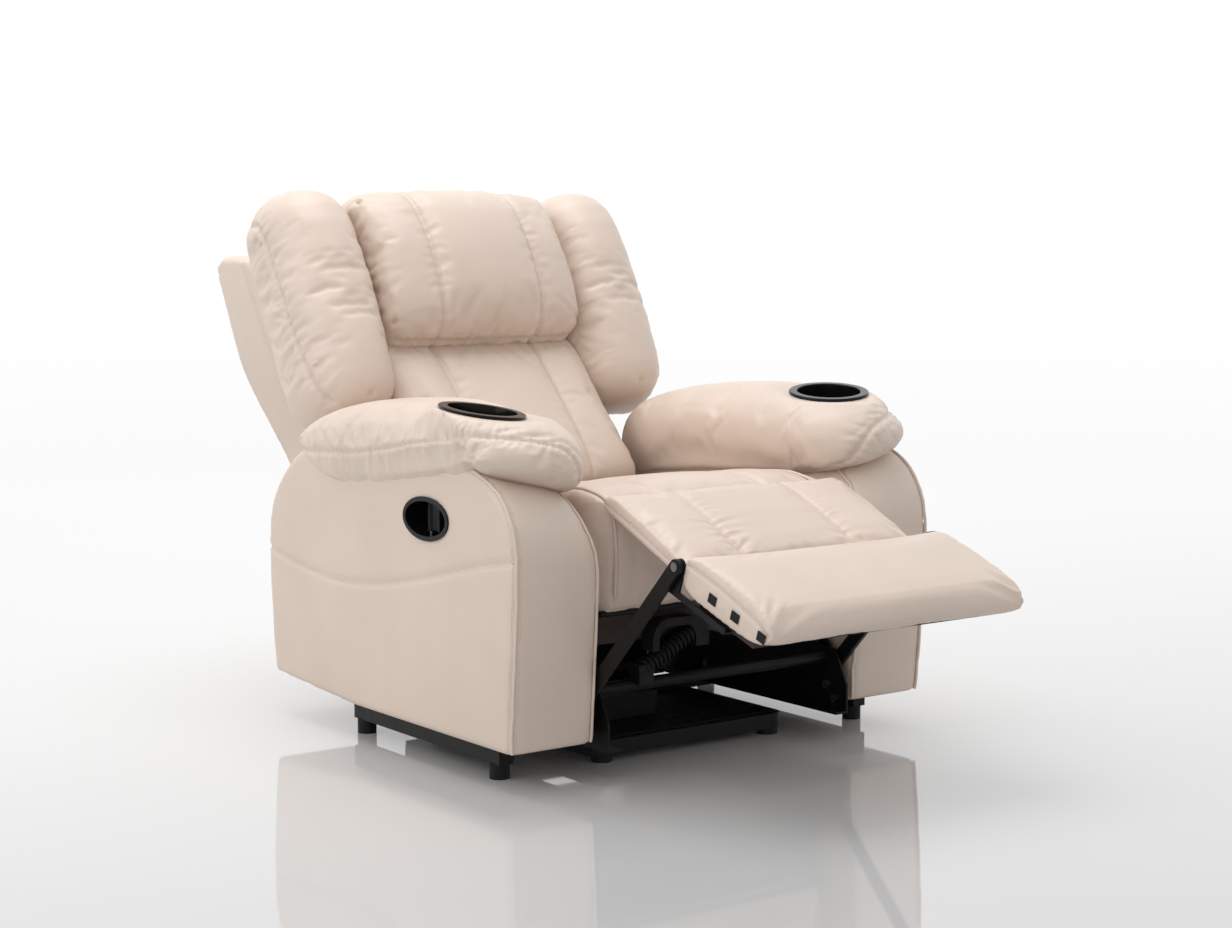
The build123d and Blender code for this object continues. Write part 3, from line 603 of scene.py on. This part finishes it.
def sizes():
    return bpy.context.scene.recliner_sizes


def look():
    return bpy.context.scene.recliner_look


# ---- arms ----
ARM_LOW, ARM_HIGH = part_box("arm_outer_cover_left")
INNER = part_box("arm_inner_cover_left")[0].x
OUTER = ARM_HIGH.x
FRONT = ARM_LOW.y + 0.022
REAR = ARM_HIGH.y
TOP = ARM_HIGH.z
BOTTOM = ARM_LOW.z

ARM_FRONT_LINE = [
    (FRONT, BOTTOM), (FRONT - 0.012, TOP - 0.33), (FRONT - 0.021, TOP - 0.19),
    (FRONT - 0.019, TOP - 0.115), (FRONT + 0.003, TOP - 0.066), (FRONT + 0.045, TOP - 0.024),
    (FRONT + 0.117, TOP)]
ARM_REAR_LINE = [
    (REAR - 0.16, TOP), (REAR - 0.105, TOP - 0.022), (REAR - 0.045, TOP - 0.072),
    (REAR - 0.008, TOP - 0.13), (REAR, TOP - 0.2), (REAR - 0.016, BOTTOM + 0.02),
    (REAR - 0.33, BOTTOM)]
SIDE_SEAM = [
    (REAR - 0.001, 0.335), (REAR - 0.125, 0.314), (REAR - 0.30, 0.300), (REAR - 0.445, 0.313),
    (REAR - 0.60, 0.345), (REAR - 0.76, 0.384), (FRONT - 0.018, 0.402)]


def smooth_flat(line, times=2):
    """Corner-cut line of flat points."""
    return [(p.x, p.y) for p in smooth_line([(a, b, 0.0) for a, b in line], times)]


def closed(outline, times=1):
    """Corner-cut outline of a closed shape."""
    return smooth_flat(outline + outline[:1], times)[1:-1]


def cut_away(piece, cutter):
    """Take a shape out of a piece."""
    apply_modifier(piece, "BOOLEAN", operation="DIFFERENCE", solver="EXACT", object=cutter)
    bpy.data.objects.remove(cutter)


def make_arm(side, name):
    """Leather arm box: flat sides, rolled inner top edge and a welted front band."""
    front_line = smooth_flat(ARM_FRONT_LINE)
    rear_line = smooth_flat(ARM_REAR_LINE[:-2]) + ARM_REAR_LINE[-2:]
    low, high = sorted((side * INNER, side * (OUTER - 0.001)))
    piece = prism(f"arm_leather_{name}", SIDE, front_line + rear_line, low, high)
    round_edges(piece, 0.008, 3)
    remesh(piece, 0.0065)
    places = coords(piece)
    depth = side * places[:, 0] - INNER
    roll = sizes().arm_roll
    bend = np.clip(1 - depth / roll, 0, 1)
    drop = roll * (1 - np.sqrt(np.clip(1 - bend ** 2, 0, 1)))
    share = np.clip((places[:, 2] - 0.30) / (TOP - 0.30), 0, 1)
    places[:, 2] -= 0.85 * drop * share
    high_share = np.clip((places[:, 2] - BOTTOM) / (TOP - BOTTOM), 0, 1)
    deep = np.clip((places[:, 1] - FRONT) / (REAR - FRONT), 0, 1)
    bulge = np.sin(np.pi * high_share ** 0.8) * (0.35 + 0.65 * np.sin(np.pi * deep) ** 0.5)
    if side < 0:
        low_corner, high_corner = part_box("handle_recess")
        spot = (low_corner + high_corner) / 2
        away = np.hypot((places[:, 1] - spot.y) / 0.15, (places[:, 2] - spot.z) / 0.12)
        bulge *= 1 - np.exp(-(away ** 2))
    outward = np.clip((depth - 0.09) / (OUTER - INNER - 0.09), 0, 1)
    places[:, 0] += side * sizes().arm_bulge * bulge * outward
    set_coords(piece, places)
    edge = side * (OUTER - 0.001)
    band = drawn(piece, across(SIDE, front_line, edge - side * 0.002))
    wave = drawn(piece, across(SIDE, smooth_flat(SIDE_SEAM), edge + side * 0.01))
    back_edge = across(SIDE, rear_line[:-1], edge)
    sew(piece, [wave, back_edge], depth=0.004, width=0.005)
    sew(piece, [band], depth=0.003, width=0.008)
    inner_edge = drawn(piece, across(SIDE, front_line, side * INNER))
    sew(piece, [inner_edge], depth=0.003, width=0.006)
    if side < 0:
        bpy.ops.mesh.primitive_cylinder_add(vertices=96, radius=1, depth=0.16)
        cutter = bpy.context.object
        cutter.rotation_euler = (0, math.radians(90), 0)
        cutter.scale = ((high_corner.z - low_corner.z) / 2 - 0.0035,
                        (high_corner.y - low_corner.y) / 2 - 0.0035, 1)
        cutter.location = (-OUTER, spot.y, spot.z)
        bpy.context.view_layer.update()
        cut_away(piece, cutter)
    nodes = [f"arm_{part}_cover_{name}" for part in ("outer", "inner", "front", "rear")]
    finish_soft(piece, "chair_base", nodes + [f"arm_frame_{name}"], levels=0)
    welt(f"arm_welt_{name}", "chair_base", [band, inner_edge], 0.0030)
    offset = sizes().thread_offset
    stitches(f"arm_thread_{name}", piece, "chair_base", [wave], (offset, -offset))
    stitches(f"arm_band_thread_{name}", piece, "chair_base", [band], (2 * offset, -2 * offset))


CUP_INWARD = math.radians(5)
CUP_FORWARD = math.radians(7)
CUP_PLACE = (0.104, 0.186, 0.091)
CUP_LIP = 0.009


def cup_axis(side):
    """Middle of a cup holder's rim, the way its mouth faces, and the rim's radius."""
    lean, fall = -side * math.sin(CUP_INWARD), -math.sin(CUP_FORWARD)
    axis = Vector((lean, fall, math.sqrt(1 - lean * lean - fall * fall)))
    low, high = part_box(f"cup_holder_{'right' if side < 0 else 'left'}")
    rim = (high.x - low.x) / 2
    x, y, z = CUP_PLACE
    return Vector((side * (INNER + x), FRONT + y, TOP + z)), axis, rim


PAD_TOP = [
    (FRONT + 0.004, TOP - 0.036), (FRONT - 0.006, TOP - 0.004), (FRONT + 0.002, TOP + 0.030),
    (FRONT + 0.032, TOP + 0.060), (FRONT + 0.08, TOP + 0.078), (FRONT + 0.14, TOP + 0.088),
    (FRONT + 0.30, TOP + 0.098), (FRONT + 0.50, TOP + 0.086), (FRONT + 0.64, TOP + 0.062),
    (FRONT + 0.715, TOP + 0.028), (FRONT + 0.735, TOP - 0.012), (FRONT + 0.70, TOP - 0.044)]
PAD_SEAM = [
    (0.493, 0.712, 0.532), (0.493, 0.604, 0.541), (0.493, 0.489, 0.547), (0.493, 0.366, 0.563),
    (0.493, 0.274, 0.581), (0.493, 0.174, 0.593), (0.485, 0.105, 0.601), (0.455, 0.060, 0.605),
    (0.415, 0.028, 0.604), (0.375, 0.008, 0.599), (0.345, -0.004, 0.586), (0.325, -0.008, 0.565),
    (0.310, -0.002, 0.540), (0.298, 0.012, 0.515), (0.290, 0.035, 0.495)]
PAD_OUTER_LOW = ([0.0, 0.05, 0.10, 0.18, 0.33, 0.45, 0.55, 0.65, 0.70],
                 [0.552, 0.551, 0.545, 0.532, 0.509, 0.500, 0.498, 0.508, 0.520])
PAD_INNER_LOW = ([0.0, 0.084, 0.155, 0.43, 0.65], [0.496, 0.488, 0.478, 0.464, 0.444])
PAD_TIP = 0.42


def make_pad(side, name):
    """Plump arm pad that wraps down over the arm, gathered at its seams."""
    near, far = INNER - 0.030, OUTER + 0.022
    low, high = sorted((side * near, side * far))
    piece = prism(f"arm_pad_{name}", SIDE, smooth_flat(PAD_TOP, 1), low, high)
    round_edges(piece, 0.040, 5)
    remesh(piece, 0.008)
    relax(piece, 6)
    places = coords(piece)
    y = places[:, 1] - FRONT
    depth = side * places[:, 0]
    share = np.clip((depth - near) / (far - near), 0, 1)
    base = np.interp(y, *PAD_INNER_LOW) * (1 - share) + np.interp(y, *PAD_OUTER_LOW) * share
    weight = np.clip((TOP + 0.05 - places[:, 2]) / 0.085, 0, 1)
    places[:, 2] += (base - (TOP - 0.044)) * weight
    level = np.clip((places[:, 2] - TOP - 0.01) / 0.06, 0, 1)
    lean = np.abs(2 * share - 1)
    places[:, 2] -= 0.024 * lean ** 2.6 * level
    back = np.clip((y - 0.50) / 0.20, 0, 1)
    front = np.clip((0.16 - y) / 0.16, 0, 1)
    inward = np.clip(1 - share / PAD_TIP, 0, 1)
    outward = np.clip((share - PAD_TIP) / (1 - PAD_TIP), 0, 1)
    places[:, 1] += (0.085 * inward ** 2.2 + 0.070 * outward ** 2.2) * front
    places[:, 0] -= side * 0.022 * back ** 2 * (2 * share - 1)
    set_coords(piece, places)
    seam = smooth_line([(side * x, FRONT + y, z) for x, y, z in PAD_SEAM])
    seams = [drawn(piece, dense(seam))]
    swell(piece, seams, pressure=4.5, growth=0.03, cap=0.012)
    apply_modifier(piece, "SUBSURF", levels=1)
    centre, axis, rim = cup_axis(side)
    centre_point, way = np.array(centre), np.array(axis)
    places = coords(piece)
    offset = places - centre_point
    height = offset @ way
    radial = np.linalg.norm(offset - height[:, None] * way, axis=1)
    upward = np.clip(normals(piece) @ way * 2.5, 0, 1)
    blend = np.clip(1 - (radial - rim) / 0.055, 0, 1)
    blend = blend * blend * (3 - 2 * blend) * upward * (height > -0.05)
    ring = -0.001 - 0.10 * np.clip(radial - rim - 0.02, 0, 1)
    places += ((ring - height) * blend)[:, None] * way
    set_coords(piece, places)
    away = np.clip((radial - rim) / 0.02, 0, 1)
    sew(piece, seams, depth=0.004, width=0.005)
    gather(piece, seams, depth=0.0022, reach=0.036, pitch=0.014, seed=3 + side, where=away)
    bpy.ops.mesh.primitive_cylinder_add(
        vertices=96, radius=rim - CUP_LIP, depth=0.2, location=centre)
    cutter = bpy.context.object
    cutter.rotation_euler = axis.to_track_quat("Z", "Y").to_euler()
    bpy.context.view_layer.update()
    cut_away(piece, cutter)
    finish_soft(piece, "chair_base", [f"arm_pad_{name}"], 0)
    offset = sizes().thread_offset
    stitches(f"arm_pad_thread_{name}", piece, "chair_base", seams, (offset,))


# ---- seat, flap and footrest ----
def make_seat():
    """Seat cushion with three sewn channels and a boxed, piped front."""
    low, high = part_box("seat_cushion")
    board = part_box("seat_front_board")[0]
    f, r, top, base = board.y, high.y, high.z, low.z
    half = high.x - 0.001
    outline = [
        (f + 0.006, base), (f - 0.001, base + 0.03), (f - 0.004, base + 0.10),
        (f - 0.001, top - 0.055), (f + 0.008, top - 0.028), (f + 0.026, top - 0.012),
        (f + 0.06, top - 0.005), (f + 0.10, top), (f + 0.22, top - 0.010),
        (r - 0.06, top - 0.052), (r - 0.01, top - 0.075), (r, top - 0.10), (r, base)]
    drawn_line = smooth_flat(outline[1:-2], 1)
    piece = prism("seat_leather", SIDE, outline[:1] + drawn_line + outline[-2:], -half, half)
    round_edges(piece, 0.012, 4)
    remesh(piece, 0.008)
    places = coords(piece)
    near = np.clip((f + 0.045 - places[:, 1]) / 0.045, 0, 1)
    limit = half - 0.026 * near ** 1.4
    places[:, 0] = np.clip(places[:, 0], -limit, limit)
    set_coords(piece, places)
    panel = sizes().panel
    seams = [across(SIDE, drawn_line, x) for x in (-panel, panel)]
    edges = [across(SIDE, drawn_line[:-4], x) for x in (0.024 - half, half - 0.024)]
    front = [dense([(x, f, base + 0.01), (x, f, top - 0.06)]) for x in np.linspace(-half, half, 9)]
    swell(piece, seams + edges + front, pressure=4.0, growth=0.012, cap=0.012)
    apply_modifier(piece, "SUBSURF", levels=1)
    edges = [drawn(piece, line) for line in edges]
    sew(piece, seams, depth=0.005, width=0.007)
    sew(piece, edges, depth=0.004, width=0.006)
    finish_soft(piece, "chair_base", ["seat_cushion", "seat_front_board"], 0)
    welt("seat_welt", "chair_base", edges, 0.0030)
    hem = dense([(half - 0.004, f + 0.016, base - 0.002), (0.004 - half, f + 0.016, base - 0.002)])
    welt("seat_hem", "chair_base", [hem], 0.0060, "matte_black")
    offset = sizes().thread_offset
    stitches("seat_thread", piece, "chair_base", seams, (offset,))


def make_flap():
    """Padded middle panel from the seat's front edge down to the footrest."""
    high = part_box("flap_cushion")[1]
    half = high.x - 0.003
    outline = [
        (0.0, -0.0125), (0.220, -0.0125), (0.232, -0.008), (0.236, 0.004), (0.228, 0.015),
        (0.18, 0.021), (0.10, 0.024), (0.02, 0.022), (-0.010, 0.015), (-0.019, 0.003),
        (-0.013, -0.009)]
    piece = prism("flap_leather", FLAP, outline, -half, half)
    round_edges(piece, 0.004, 3)
    remesh(piece, 0.0055)
    panel = sizes().panel
    over = [(-0.012, 0.013), (0.02, 0.022), (0.10, 0.024), (0.18, 0.021), (0.230, 0.013)]
    seams = [across(FLAP, over, x) for x in (-panel, panel)]
    rim = [across(FLAP, [(-0.010, 0.001), (0.10, 0.003), (0.230, 0.0)], x)
           for x in (-half - 0.001, half + 0.001)]
    under = [across(FLAP, [(-0.01, -0.0125), (0.23, -0.0125)], x)
             for x in np.linspace(-half, half, 40)]
    swell(piece, seams + rim + under, pressure=4.0, growth=0.015, cap=0.008)
    apply_modifier(piece, "SUBSURF", levels=1)
    sew(piece, seams, depth=0.004, width=0.006)
    sew(piece, rim, depth=0.002, width=0.003)
    x, first, second = drawing(piece, FLAP)
    gather(piece, seams, depth=0.0016, reach=0.050, pitch=0.024, seed=11,
           where=np.clip((first - 0.07) / 0.08, 0, 1))
    finish_soft(piece, "flap", ["flap_cushion", "flap_board"], 0)
    offset = sizes().thread_offset
    stitches("flap_thread", piece, "flap", seams + rim, (offset,))


def make_footrest():
    """Footrest pad with a rounded front edge and a sewn side seam."""
    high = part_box("footrest_cushion")[1]
    half = high.x - 0.002
    outline = [
        (0.006, 0.018), (0.022, 0.028), (0.12, 0.031), (0.205, 0.028), (0.234, 0.019),
        (0.250, 0.003), (0.247, -0.014), (0.228, -0.027), (0.196, -0.037), (0.10, -0.039),
        (0.030, -0.038), (0.008, -0.020)]
    piece = prism("footrest_leather", FOOT, closed(outline), -half, half)
    round_edges(piece, 0.006, 3)
    remesh(piece, 0.006)
    side_line = [(0.006, 0.010), (0.10, 0.012), (0.20, 0.004), (0.244, -0.006)]
    seams = [across(FOOT, side_line, x) for x in (-half, half)]
    back = [dense([FOOT.point(-half, 0.006, 0.012), FOOT.point(half, 0.006, 0.012)])]
    base = [across(FOOT, [(0.02, -0.039), (0.20, -0.038)], x) for x in np.linspace(-half, half, 40)]
    swell(piece, seams + back + base, pressure=3.0, growth=0.008, cap=0.006)
    apply_modifier(piece, "SUBSURF", levels=1)
    sew(piece, seams + back, depth=0.0022, width=0.0035)
    _, first, second = drawing(piece, FOOT)
    gather(piece, seams, depth=0.0012, reach=0.025, pitch=0.014, seed=14,
           where=np.clip((first - 0.19) / 0.04, 0, 1))
    finish_soft(piece, "footrest", ["footrest_cushion"], 0)
    offset = sizes().thread_offset
    stitches("footrest_thread", piece, "footrest", seams, (offset,))


# ---- back ----
def back_way(x, up):
    """Direction on the back's face, across and along it."""
    way = Vector((x, 0, 0)) + BACK.up * up
    return way.normalized()


def make_bolster(side, name):
    """Tall side bolster of the back, gathered along its seam."""
    low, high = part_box(f"back_bolster_{name}")
    near = min(abs(low.x), abs(high.x)) - 0.006
    far = max(abs(low.x), abs(high.x)) + 0.002
    middle, half = side * (near + far) / 2, (far - near) / 2
    outline = [
        (0.072, 0.30), (0.074, 0.70), (0.050, 0.745), (-0.010, 0.768), (-0.070, 0.762),
        (-0.118, 0.722), (-0.142, 0.64), (-0.142, 0.46), (-0.136, 0.34), (-0.120, 0.292),
        (-0.07, 0.268), (0.03, 0.272)]
    lo, hi = sorted((side * near, side * far))
    piece = prism(f"bolster_leather_{name}", BACK, closed(outline), lo, hi)
    round_edges(piece, 0.030, 5)
    remesh(piece, 0.009)
    pillow(piece, BACK, middle=middle, half=half, ends=(0.265, 0.770),
           reach=0.085, corner=0.050, crown=0.062)
    relax(piece, 5)
    face = [(0.028, 0.738), (-0.012, 0.716), (-0.024, 0.674), (-0.028, 0.626), (-0.034, 0.511),
            (-0.046, 0.407), (-0.066, 0.33), (-0.084, 0.272)]
    outer_seam = drawn(piece, across(BACK, smooth_flat(face), side * (far + 0.01)))
    fold = [(0.0, 0.70), (-0.05, 0.66), (-0.07, 0.58), (-0.07, 0.45), (-0.06, 0.33)]
    inner_seam = drawn(piece, across(BACK, smooth_flat(fold), side * (near - 0.01)))
    rear_line = drawn(piece, across(BACK, [(0.073, 0.31), (0.073, 0.70)], side * far))
    swell(piece, [outer_seam, inner_seam, rear_line], pressure=5.0, growth=0.03, cap=0.022)
    apply_modifier(piece, "SUBSURF", levels=1)
    sew(piece, [outer_seam], depth=0.006, width=0.006)
    gather(piece, [outer_seam], depth=0.0026, reach=0.050, pitch=0.016, seed=21 + side)
    gather(piece, [inner_seam], depth=0.0022, reach=0.045, pitch=0.026, seed=27 + side)
    tip = BACK.point(middle + side * half * 0.4, -0.02, 0.765)
    foot = BACK.point(middle, -0.11, 0.285)
    ripple(piece, [(tip, back_way(-side * 0.2, -1), back_way(-side, 0.2), 0.08, 0.0016),
                   (foot, back_way(0, 1), back_way(1, 0), 0.08, 0.0018)], 5 + side)
    finish_soft(piece, "back", [f"back_bolster_{name}"], 0)
    offset = sizes().thread_offset
    stitches(f"bolster_thread_{name}", piece, "back", [outer_seam], (offset,))


def make_headrest():
    """Full headrest pillow with three channels and gathered corners."""
    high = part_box("headrest")[1]
    half = high.x - 0.004
    outline = [
        (0.06, 0.425), (0.06, 0.735), (0.02, 0.758), (-0.05, 0.764), (-0.104, 0.748),
        (-0.138, 0.704), (-0.156, 0.62), (-0.158, 0.55), (-0.148, 0.47), (-0.118, 0.424),
        (-0.075, 0.412), (0.0, 0.414)]
    piece = prism("headrest_leather", BACK, closed(outline), -half, half)
    round_edges(piece, 0.036, 5)
    remesh(piece, 0.009)
    pillow(piece, BACK, middle=0.0, half=half, ends=(0.412, 0.766),
           reach=0.050, corner=0.022, crown=0.030)
    relax(piece, 4)
    over = [(0.0, 0.764), (-0.05, 0.766), (-0.104, 0.750), (-0.140, 0.704), (-0.160, 0.62),
            (-0.160, 0.55), (-0.150, 0.47), (-0.118, 0.424), (-0.075, 0.412), (-0.03, 0.412)]
    panel = sizes().panel - 0.004
    seams = [drawn(piece, across(BACK, smooth_flat(over), x)) for x in (-panel, panel)]
    foot = [drawn(piece, dense([BACK.point(-half + 0.03, -0.070, 0.410),
                                BACK.point(half - 0.03, -0.070, 0.410)]))]
    ends = [drawn(piece, across(BACK, [(-0.04, 0.72), (-0.07, 0.60), (-0.05, 0.46)], x))
            for x in (-half - 0.01, half + 0.01)]
    swell(piece, seams + foot + ends, pressure=5.0, growth=0.03, cap=0.020)
    apply_modifier(piece, "SUBSURF", levels=1)
    sew(piece, seams, depth=0.006, width=0.006)
    gather(piece, seams, depth=0.0008, reach=0.025, pitch=0.020, seed=33)
    sew(piece, foot, depth=0.005, width=0.010)
    gather(piece, foot, depth=0.0020, reach=0.035, pitch=0.015, seed=34)
    gather(piece, ends, depth=0.0028, reach=0.055, pitch=0.020, seed=35)
    spots = []
    for x in (-1, 1):
        for up, level, front in ((-1, 0.725, -0.10), (1, 0.445, -0.12)):
            spots.append((BACK.point(x * half * 0.97, front, level), back_way(-x, up * 0.8),
                          back_way(-x * 0.8, -up), 0.13, 0.0024))
    ripple(piece, spots, 36)
    finish_soft(piece, "back", ["headrest"], 0)
    offset = sizes().thread_offset
    stitches("headrest_thread", piece, "back", seams, (offset, -offset))


def make_lumbar():
    """Lower back pad with three channels."""
    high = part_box("lumbar_cushion")[1]
    half = high.x - 0.002
    outline = [
        (0.07, 0.055), (0.07, 0.46), (-0.02, 0.46), (-0.062, 0.40), (-0.092, 0.31),
        (-0.122, 0.20), (-0.138, 0.13), (-0.140, 0.085), (-0.120, 0.055)]
    piece = prism("lumbar_leather", BACK, closed(outline), -half, half)
    round_edges(piece, 0.020, 4)
    remesh(piece, 0.009)
    over = [(-0.035, 0.44), (-0.062, 0.40), (-0.092, 0.31), (-0.122, 0.20), (-0.138, 0.13),
            (-0.140, 0.085), (-0.125, 0.058), (-0.06, 0.055)]
    panel = sizes().panel - 0.004
    seams = [across(BACK, smooth_flat(over), x) for x in (-panel, panel)]
    top = [dense([BACK.point(-half, -0.05, 0.415), BACK.point(half, -0.05, 0.415)])]
    swell(piece, seams + top, pressure=4.0, growth=0.02, cap=0.014)
    apply_modifier(piece, "SUBSURF", levels=1)
    sew(piece, seams, depth=0.005, width=0.006)
    gather(piece, top, depth=0.0016, reach=0.05, pitch=0.028, seed=42)
    finish_soft(piece, "back", ["lumbar_cushion"], 0)
    offset = sizes().thread_offset
    stitches("lumbar_thread", piece, "back", seams, (offset,))


def make_shell():
    """Leather wings and rear panel round the back's frame."""
    half = OUTER - 0.075
    waist = OUTER - 0.135
    outline = [
        (0.080, 0.262), (0.078, 0.660), (0.10, 0.690), (0.150, 0.722), (0.195, 0.744),
        (0.222, 0.745), (0.236, 0.728), (0.234, 0.10), (0.225, 0.095)]
    piece = prism("shell_leather", BACK, outline, -half, half)
    round_edges(piece, 0.012, 3)
    remesh(piece, 0.008)
    _, _, rise = drawing(piece, BACK)

    def width_at(level):
        share = np.clip((level - 0.22) / 0.33, 0, 1)
        return waist + (half - waist) * share * share * (3 - 2 * share)

    places = coords(piece)
    places[:, 0] *= width_at(rise) / half
    set_coords(piece, places)
    levels = np.linspace(0.12, 0.72, 40)
    rear, wing = [], []
    for side in (-1, 1):
        rear.append(dense([BACK.point(side * width_at(s), 0.232, s) for s in levels]))
        wing.append(dense([BACK.point(side * width_at(s), 0.088 + 0.035 * (s - 0.28) / 0.42, s)
                           for s in levels if s > 0.27]))
    rear.append(dense([BACK.point(-half, 0.232, 0.738), BACK.point(half, 0.232, 0.738)]))
    puff(piece, rear + wing, height=0.005, reach=0.03)
    sew(piece, rear, depth=0.003, width=0.005)
    sew(piece, wing, depth=0.003, width=0.006)
    finish_soft(piece, "back", ["back_shell"], 0)
    welt("shell_welt", "back", [drawn(piece, line) for line in rear], 0.0026)
    offset = sizes().thread_offset
    stitches("shell_thread", piece, "back", wing, (offset, -offset))

    low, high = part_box("back_apron")
    apron = prism("apron_leather", BACK, [(0.1125, -0.060), (0.1275, -0.060), (0.1275, 0.30),
                                          (0.1125, 0.30)], low.x, high.x)
    round_edges(apron, 0.004, 3)
    finish_soft(apron, "back", ["back_apron"], 0)


# ---- frame finish, floor, light and camera ----
def dress_frame():
    """Give every plain part of the frame its own surface."""
    slots = {s["node"]: s["material_slot"] for s in frame["record"]["subparts"]}
    made = {"gloss_black_plastic": "gloss_black", "matte_black_plastic": "matte_black",
            "black_steel": "black_steel", "zinc_steel": "zinc", "wood": "wood",
            "webbing": "webbing", "leather_cover": "leather", "padded_leather": "leather"}
    for name, piece in frame["nodes"].items():
        piece.data.materials.clear()
        piece.data.materials.append(material(made[slots[name]]))


VIEW_WAY = (0.595, 0.803, 0.0)
# Painted light: over this span away from the camera the floor's colour goes from the near floor
# colour to a lighter far colour.
FLOOR_PAINTED_LIGHT_SPAN = (-1.2, 3.7)
FLOOR_FAR_PAINTED_LIGHT = (0.92, 0.92, 0.92, 1)
SKY_SPAN = (-0.55, 0.25)
SKY_STRENGTH = (0.72, 1.04)
LAMPS = (((-3.2, 0.2, 2.0), 16, 2.2, (0.0, -1.02, 0.0)),
         ((-0.4, 0.6, 3.0), 30, 2.0, (0.0, 0.0, 0.0)))
CAMERA_PLACE = (-2.545, -3.478, 0.942)
CAMERA_TURN = (math.radians(90) - 0.101, 0, -0.638)


def make_stage():
    """Pale glossy floor with painted light, its colour lighter farther from the camera; white
    surroundings, soft lights and the camera.
    """
    bpy.ops.mesh.primitive_plane_add(size=120, location=(0, 0, -0.0002))
    floor = bpy.context.object
    floor.name = "floor"
    g = Graph("floor")
    away = g.add("ShaderNodeVectorMath", {"operation": "DOT_PRODUCT"},
                 (g.place(), VIEW_WAY), 1)
    # Painted light: the floor's colour is darker near the chair and camera and lighter far away.
    tone = g.blend(g.spread(away, *FLOOR_PAINTED_LIGHT_SPAN), colour(look().floor), FLOOR_FAR_PAINTED_LIGHT)
    floor.data.materials.append(g.surface(Base_Color=tone, Roughness=0.04, IOR=1.75))
    world = bpy.data.worlds.new("studio")
    world.use_nodes = True
    tree = world.node_tree
    around = tree.nodes.new("ShaderNodeTexCoord")
    parts = tree.nodes.new("ShaderNodeSeparateXYZ")
    fall = tree.nodes.new("ShaderNodeMapRange")
    for number, value in enumerate((*SKY_SPAN, *SKY_STRENGTH)):
        fall.inputs[number + 1].default_value = value
    tree.links.new(around.outputs["Generated"], parts.inputs[0])
    tree.links.new(parts.outputs["Y"], fall.inputs[0])
    tree.links.new(fall.outputs[0], tree.nodes["Background"].inputs[1])
    tree.nodes["Background"].inputs[0].default_value = (1.0, 1.0, 1.0, 1)
    scene = bpy.context.scene
    scene.world = world
    scene.view_settings.view_transform = "Standard"
    for place, power, size, turn in LAMPS:
        bpy.ops.object.light_add(type="AREA", location=place, rotation=turn)
        lamp = bpy.context.object
        lamp.data.energy = power
        lamp.data.size = size
    bpy.ops.object.camera_add(location=CAMERA_PLACE, rotation=CAMERA_TURN)
    camera = bpy.context.object
    camera.data.lens = look().lens
    camera.data.sensor_width = 36.0
    camera.data.clip_end = 100
    scene.camera = camera


# ---- operators ----
class RECLINER_OT_materials(bpy.types.Operator):
    """Make the surfaces and dress the frame."""

    bl_idname = "recliner.materials"
    bl_label = "Surfaces"

    def execute(self, context):
        chosen = look()
        leather_surface(chosen)
        thread_surface(chosen)
        black_surface("gloss_black", 0.004, 0.10, 0.18, 900, 0.02)
        black_surface("matte_black", 0.008, 0.42, 0.58, 900, 0.25)
        black_surface("black_steel", 0.005, 0.28, 0.42, 500, 0.10)
        wood_surface(chosen)
        webbing_surface()
        steel_surface()
        dress_frame()
        return {"FINISHED"}


class RECLINER_OT_arms(bpy.types.Operator):
    """Cover both arms and lay their pads."""

    bl_idname = "recliner.arms"
    bl_label = "Arms"

    def execute(self, context):
        for side, name in ((-1, "right"), (1, "left")):
            make_arm(side, name)
            make_pad(side, name)
        return {"FINISHED"}


class RECLINER_OT_seat(bpy.types.Operator):
    """Make the seat cushion, the flap and the footrest."""

    bl_idname = "recliner.seat"
    bl_label = "Seat and footrest"

    def execute(self, context):
        make_seat()
        make_flap()
        make_footrest()
        return {"FINISHED"}


class RECLINER_OT_back(bpy.types.Operator):
    """Make the reclining back's cushions and shell."""

    bl_idname = "recliner.back"
    bl_label = "Back"

    def execute(self, context):
        for side, name in ((-1, "right"), (1, "left")):
            make_bolster(side, name)
        make_headrest()
        make_lumbar()
        make_shell()
        return {"FINISHED"}


class RECLINER_OT_stage(bpy.types.Operator):
    """Lay the floor and set the lights and the camera."""

    bl_idname = "recliner.stage"
    bl_label = "Stage"

    def execute(self, context):
        make_stage()
        return {"FINISHED"}


class RECLINER_PT_panel(bpy.types.Panel):
    """Buttons and sizes of the recliner."""

    bl_label = "Recliner"
    bl_idname = "RECLINER_PT_panel"
    bl_space_type = "VIEW_3D"
    bl_region_type = "UI"
    bl_category = "Recliner"

    def draw(self, context):
        for group in (context.scene.recliner_sizes, context.scene.recliner_look):
            for key in group.bl_rna.properties.keys():
                if key not in ("rna_type", "name"):
                    self.layout.prop(group, key)
        for step in STEPS:
            self.layout.operator(step.bl_idname)


STEPS = (RECLINER_OT_materials, RECLINER_OT_arms, RECLINER_OT_seat, RECLINER_OT_back,
         RECLINER_OT_stage)
CLASSES = (ReclinerLook, ReclinerSizes, *STEPS, RECLINER_PT_panel)


def register():
    for cls in CLASSES:
        bpy.utils.register_class(cls)
    bpy.types.Scene.recliner_look = bpy.props.PointerProperty(type=ReclinerLook)
    bpy.types.Scene.recliner_sizes = bpy.props.PointerProperty(type=ReclinerSizes)


def unregister():
    del bpy.types.Scene.recliner_sizes
    del bpy.types.Scene.recliner_look
    for cls in reversed(CLASSES):
        bpy.utils.unregister_class(cls)


def main():
    register()
    for step in STEPS:
        getattr(bpy.ops.recliner, step.bl_idname.split(".")[1])()


if __name__ == "__main__":
    main()
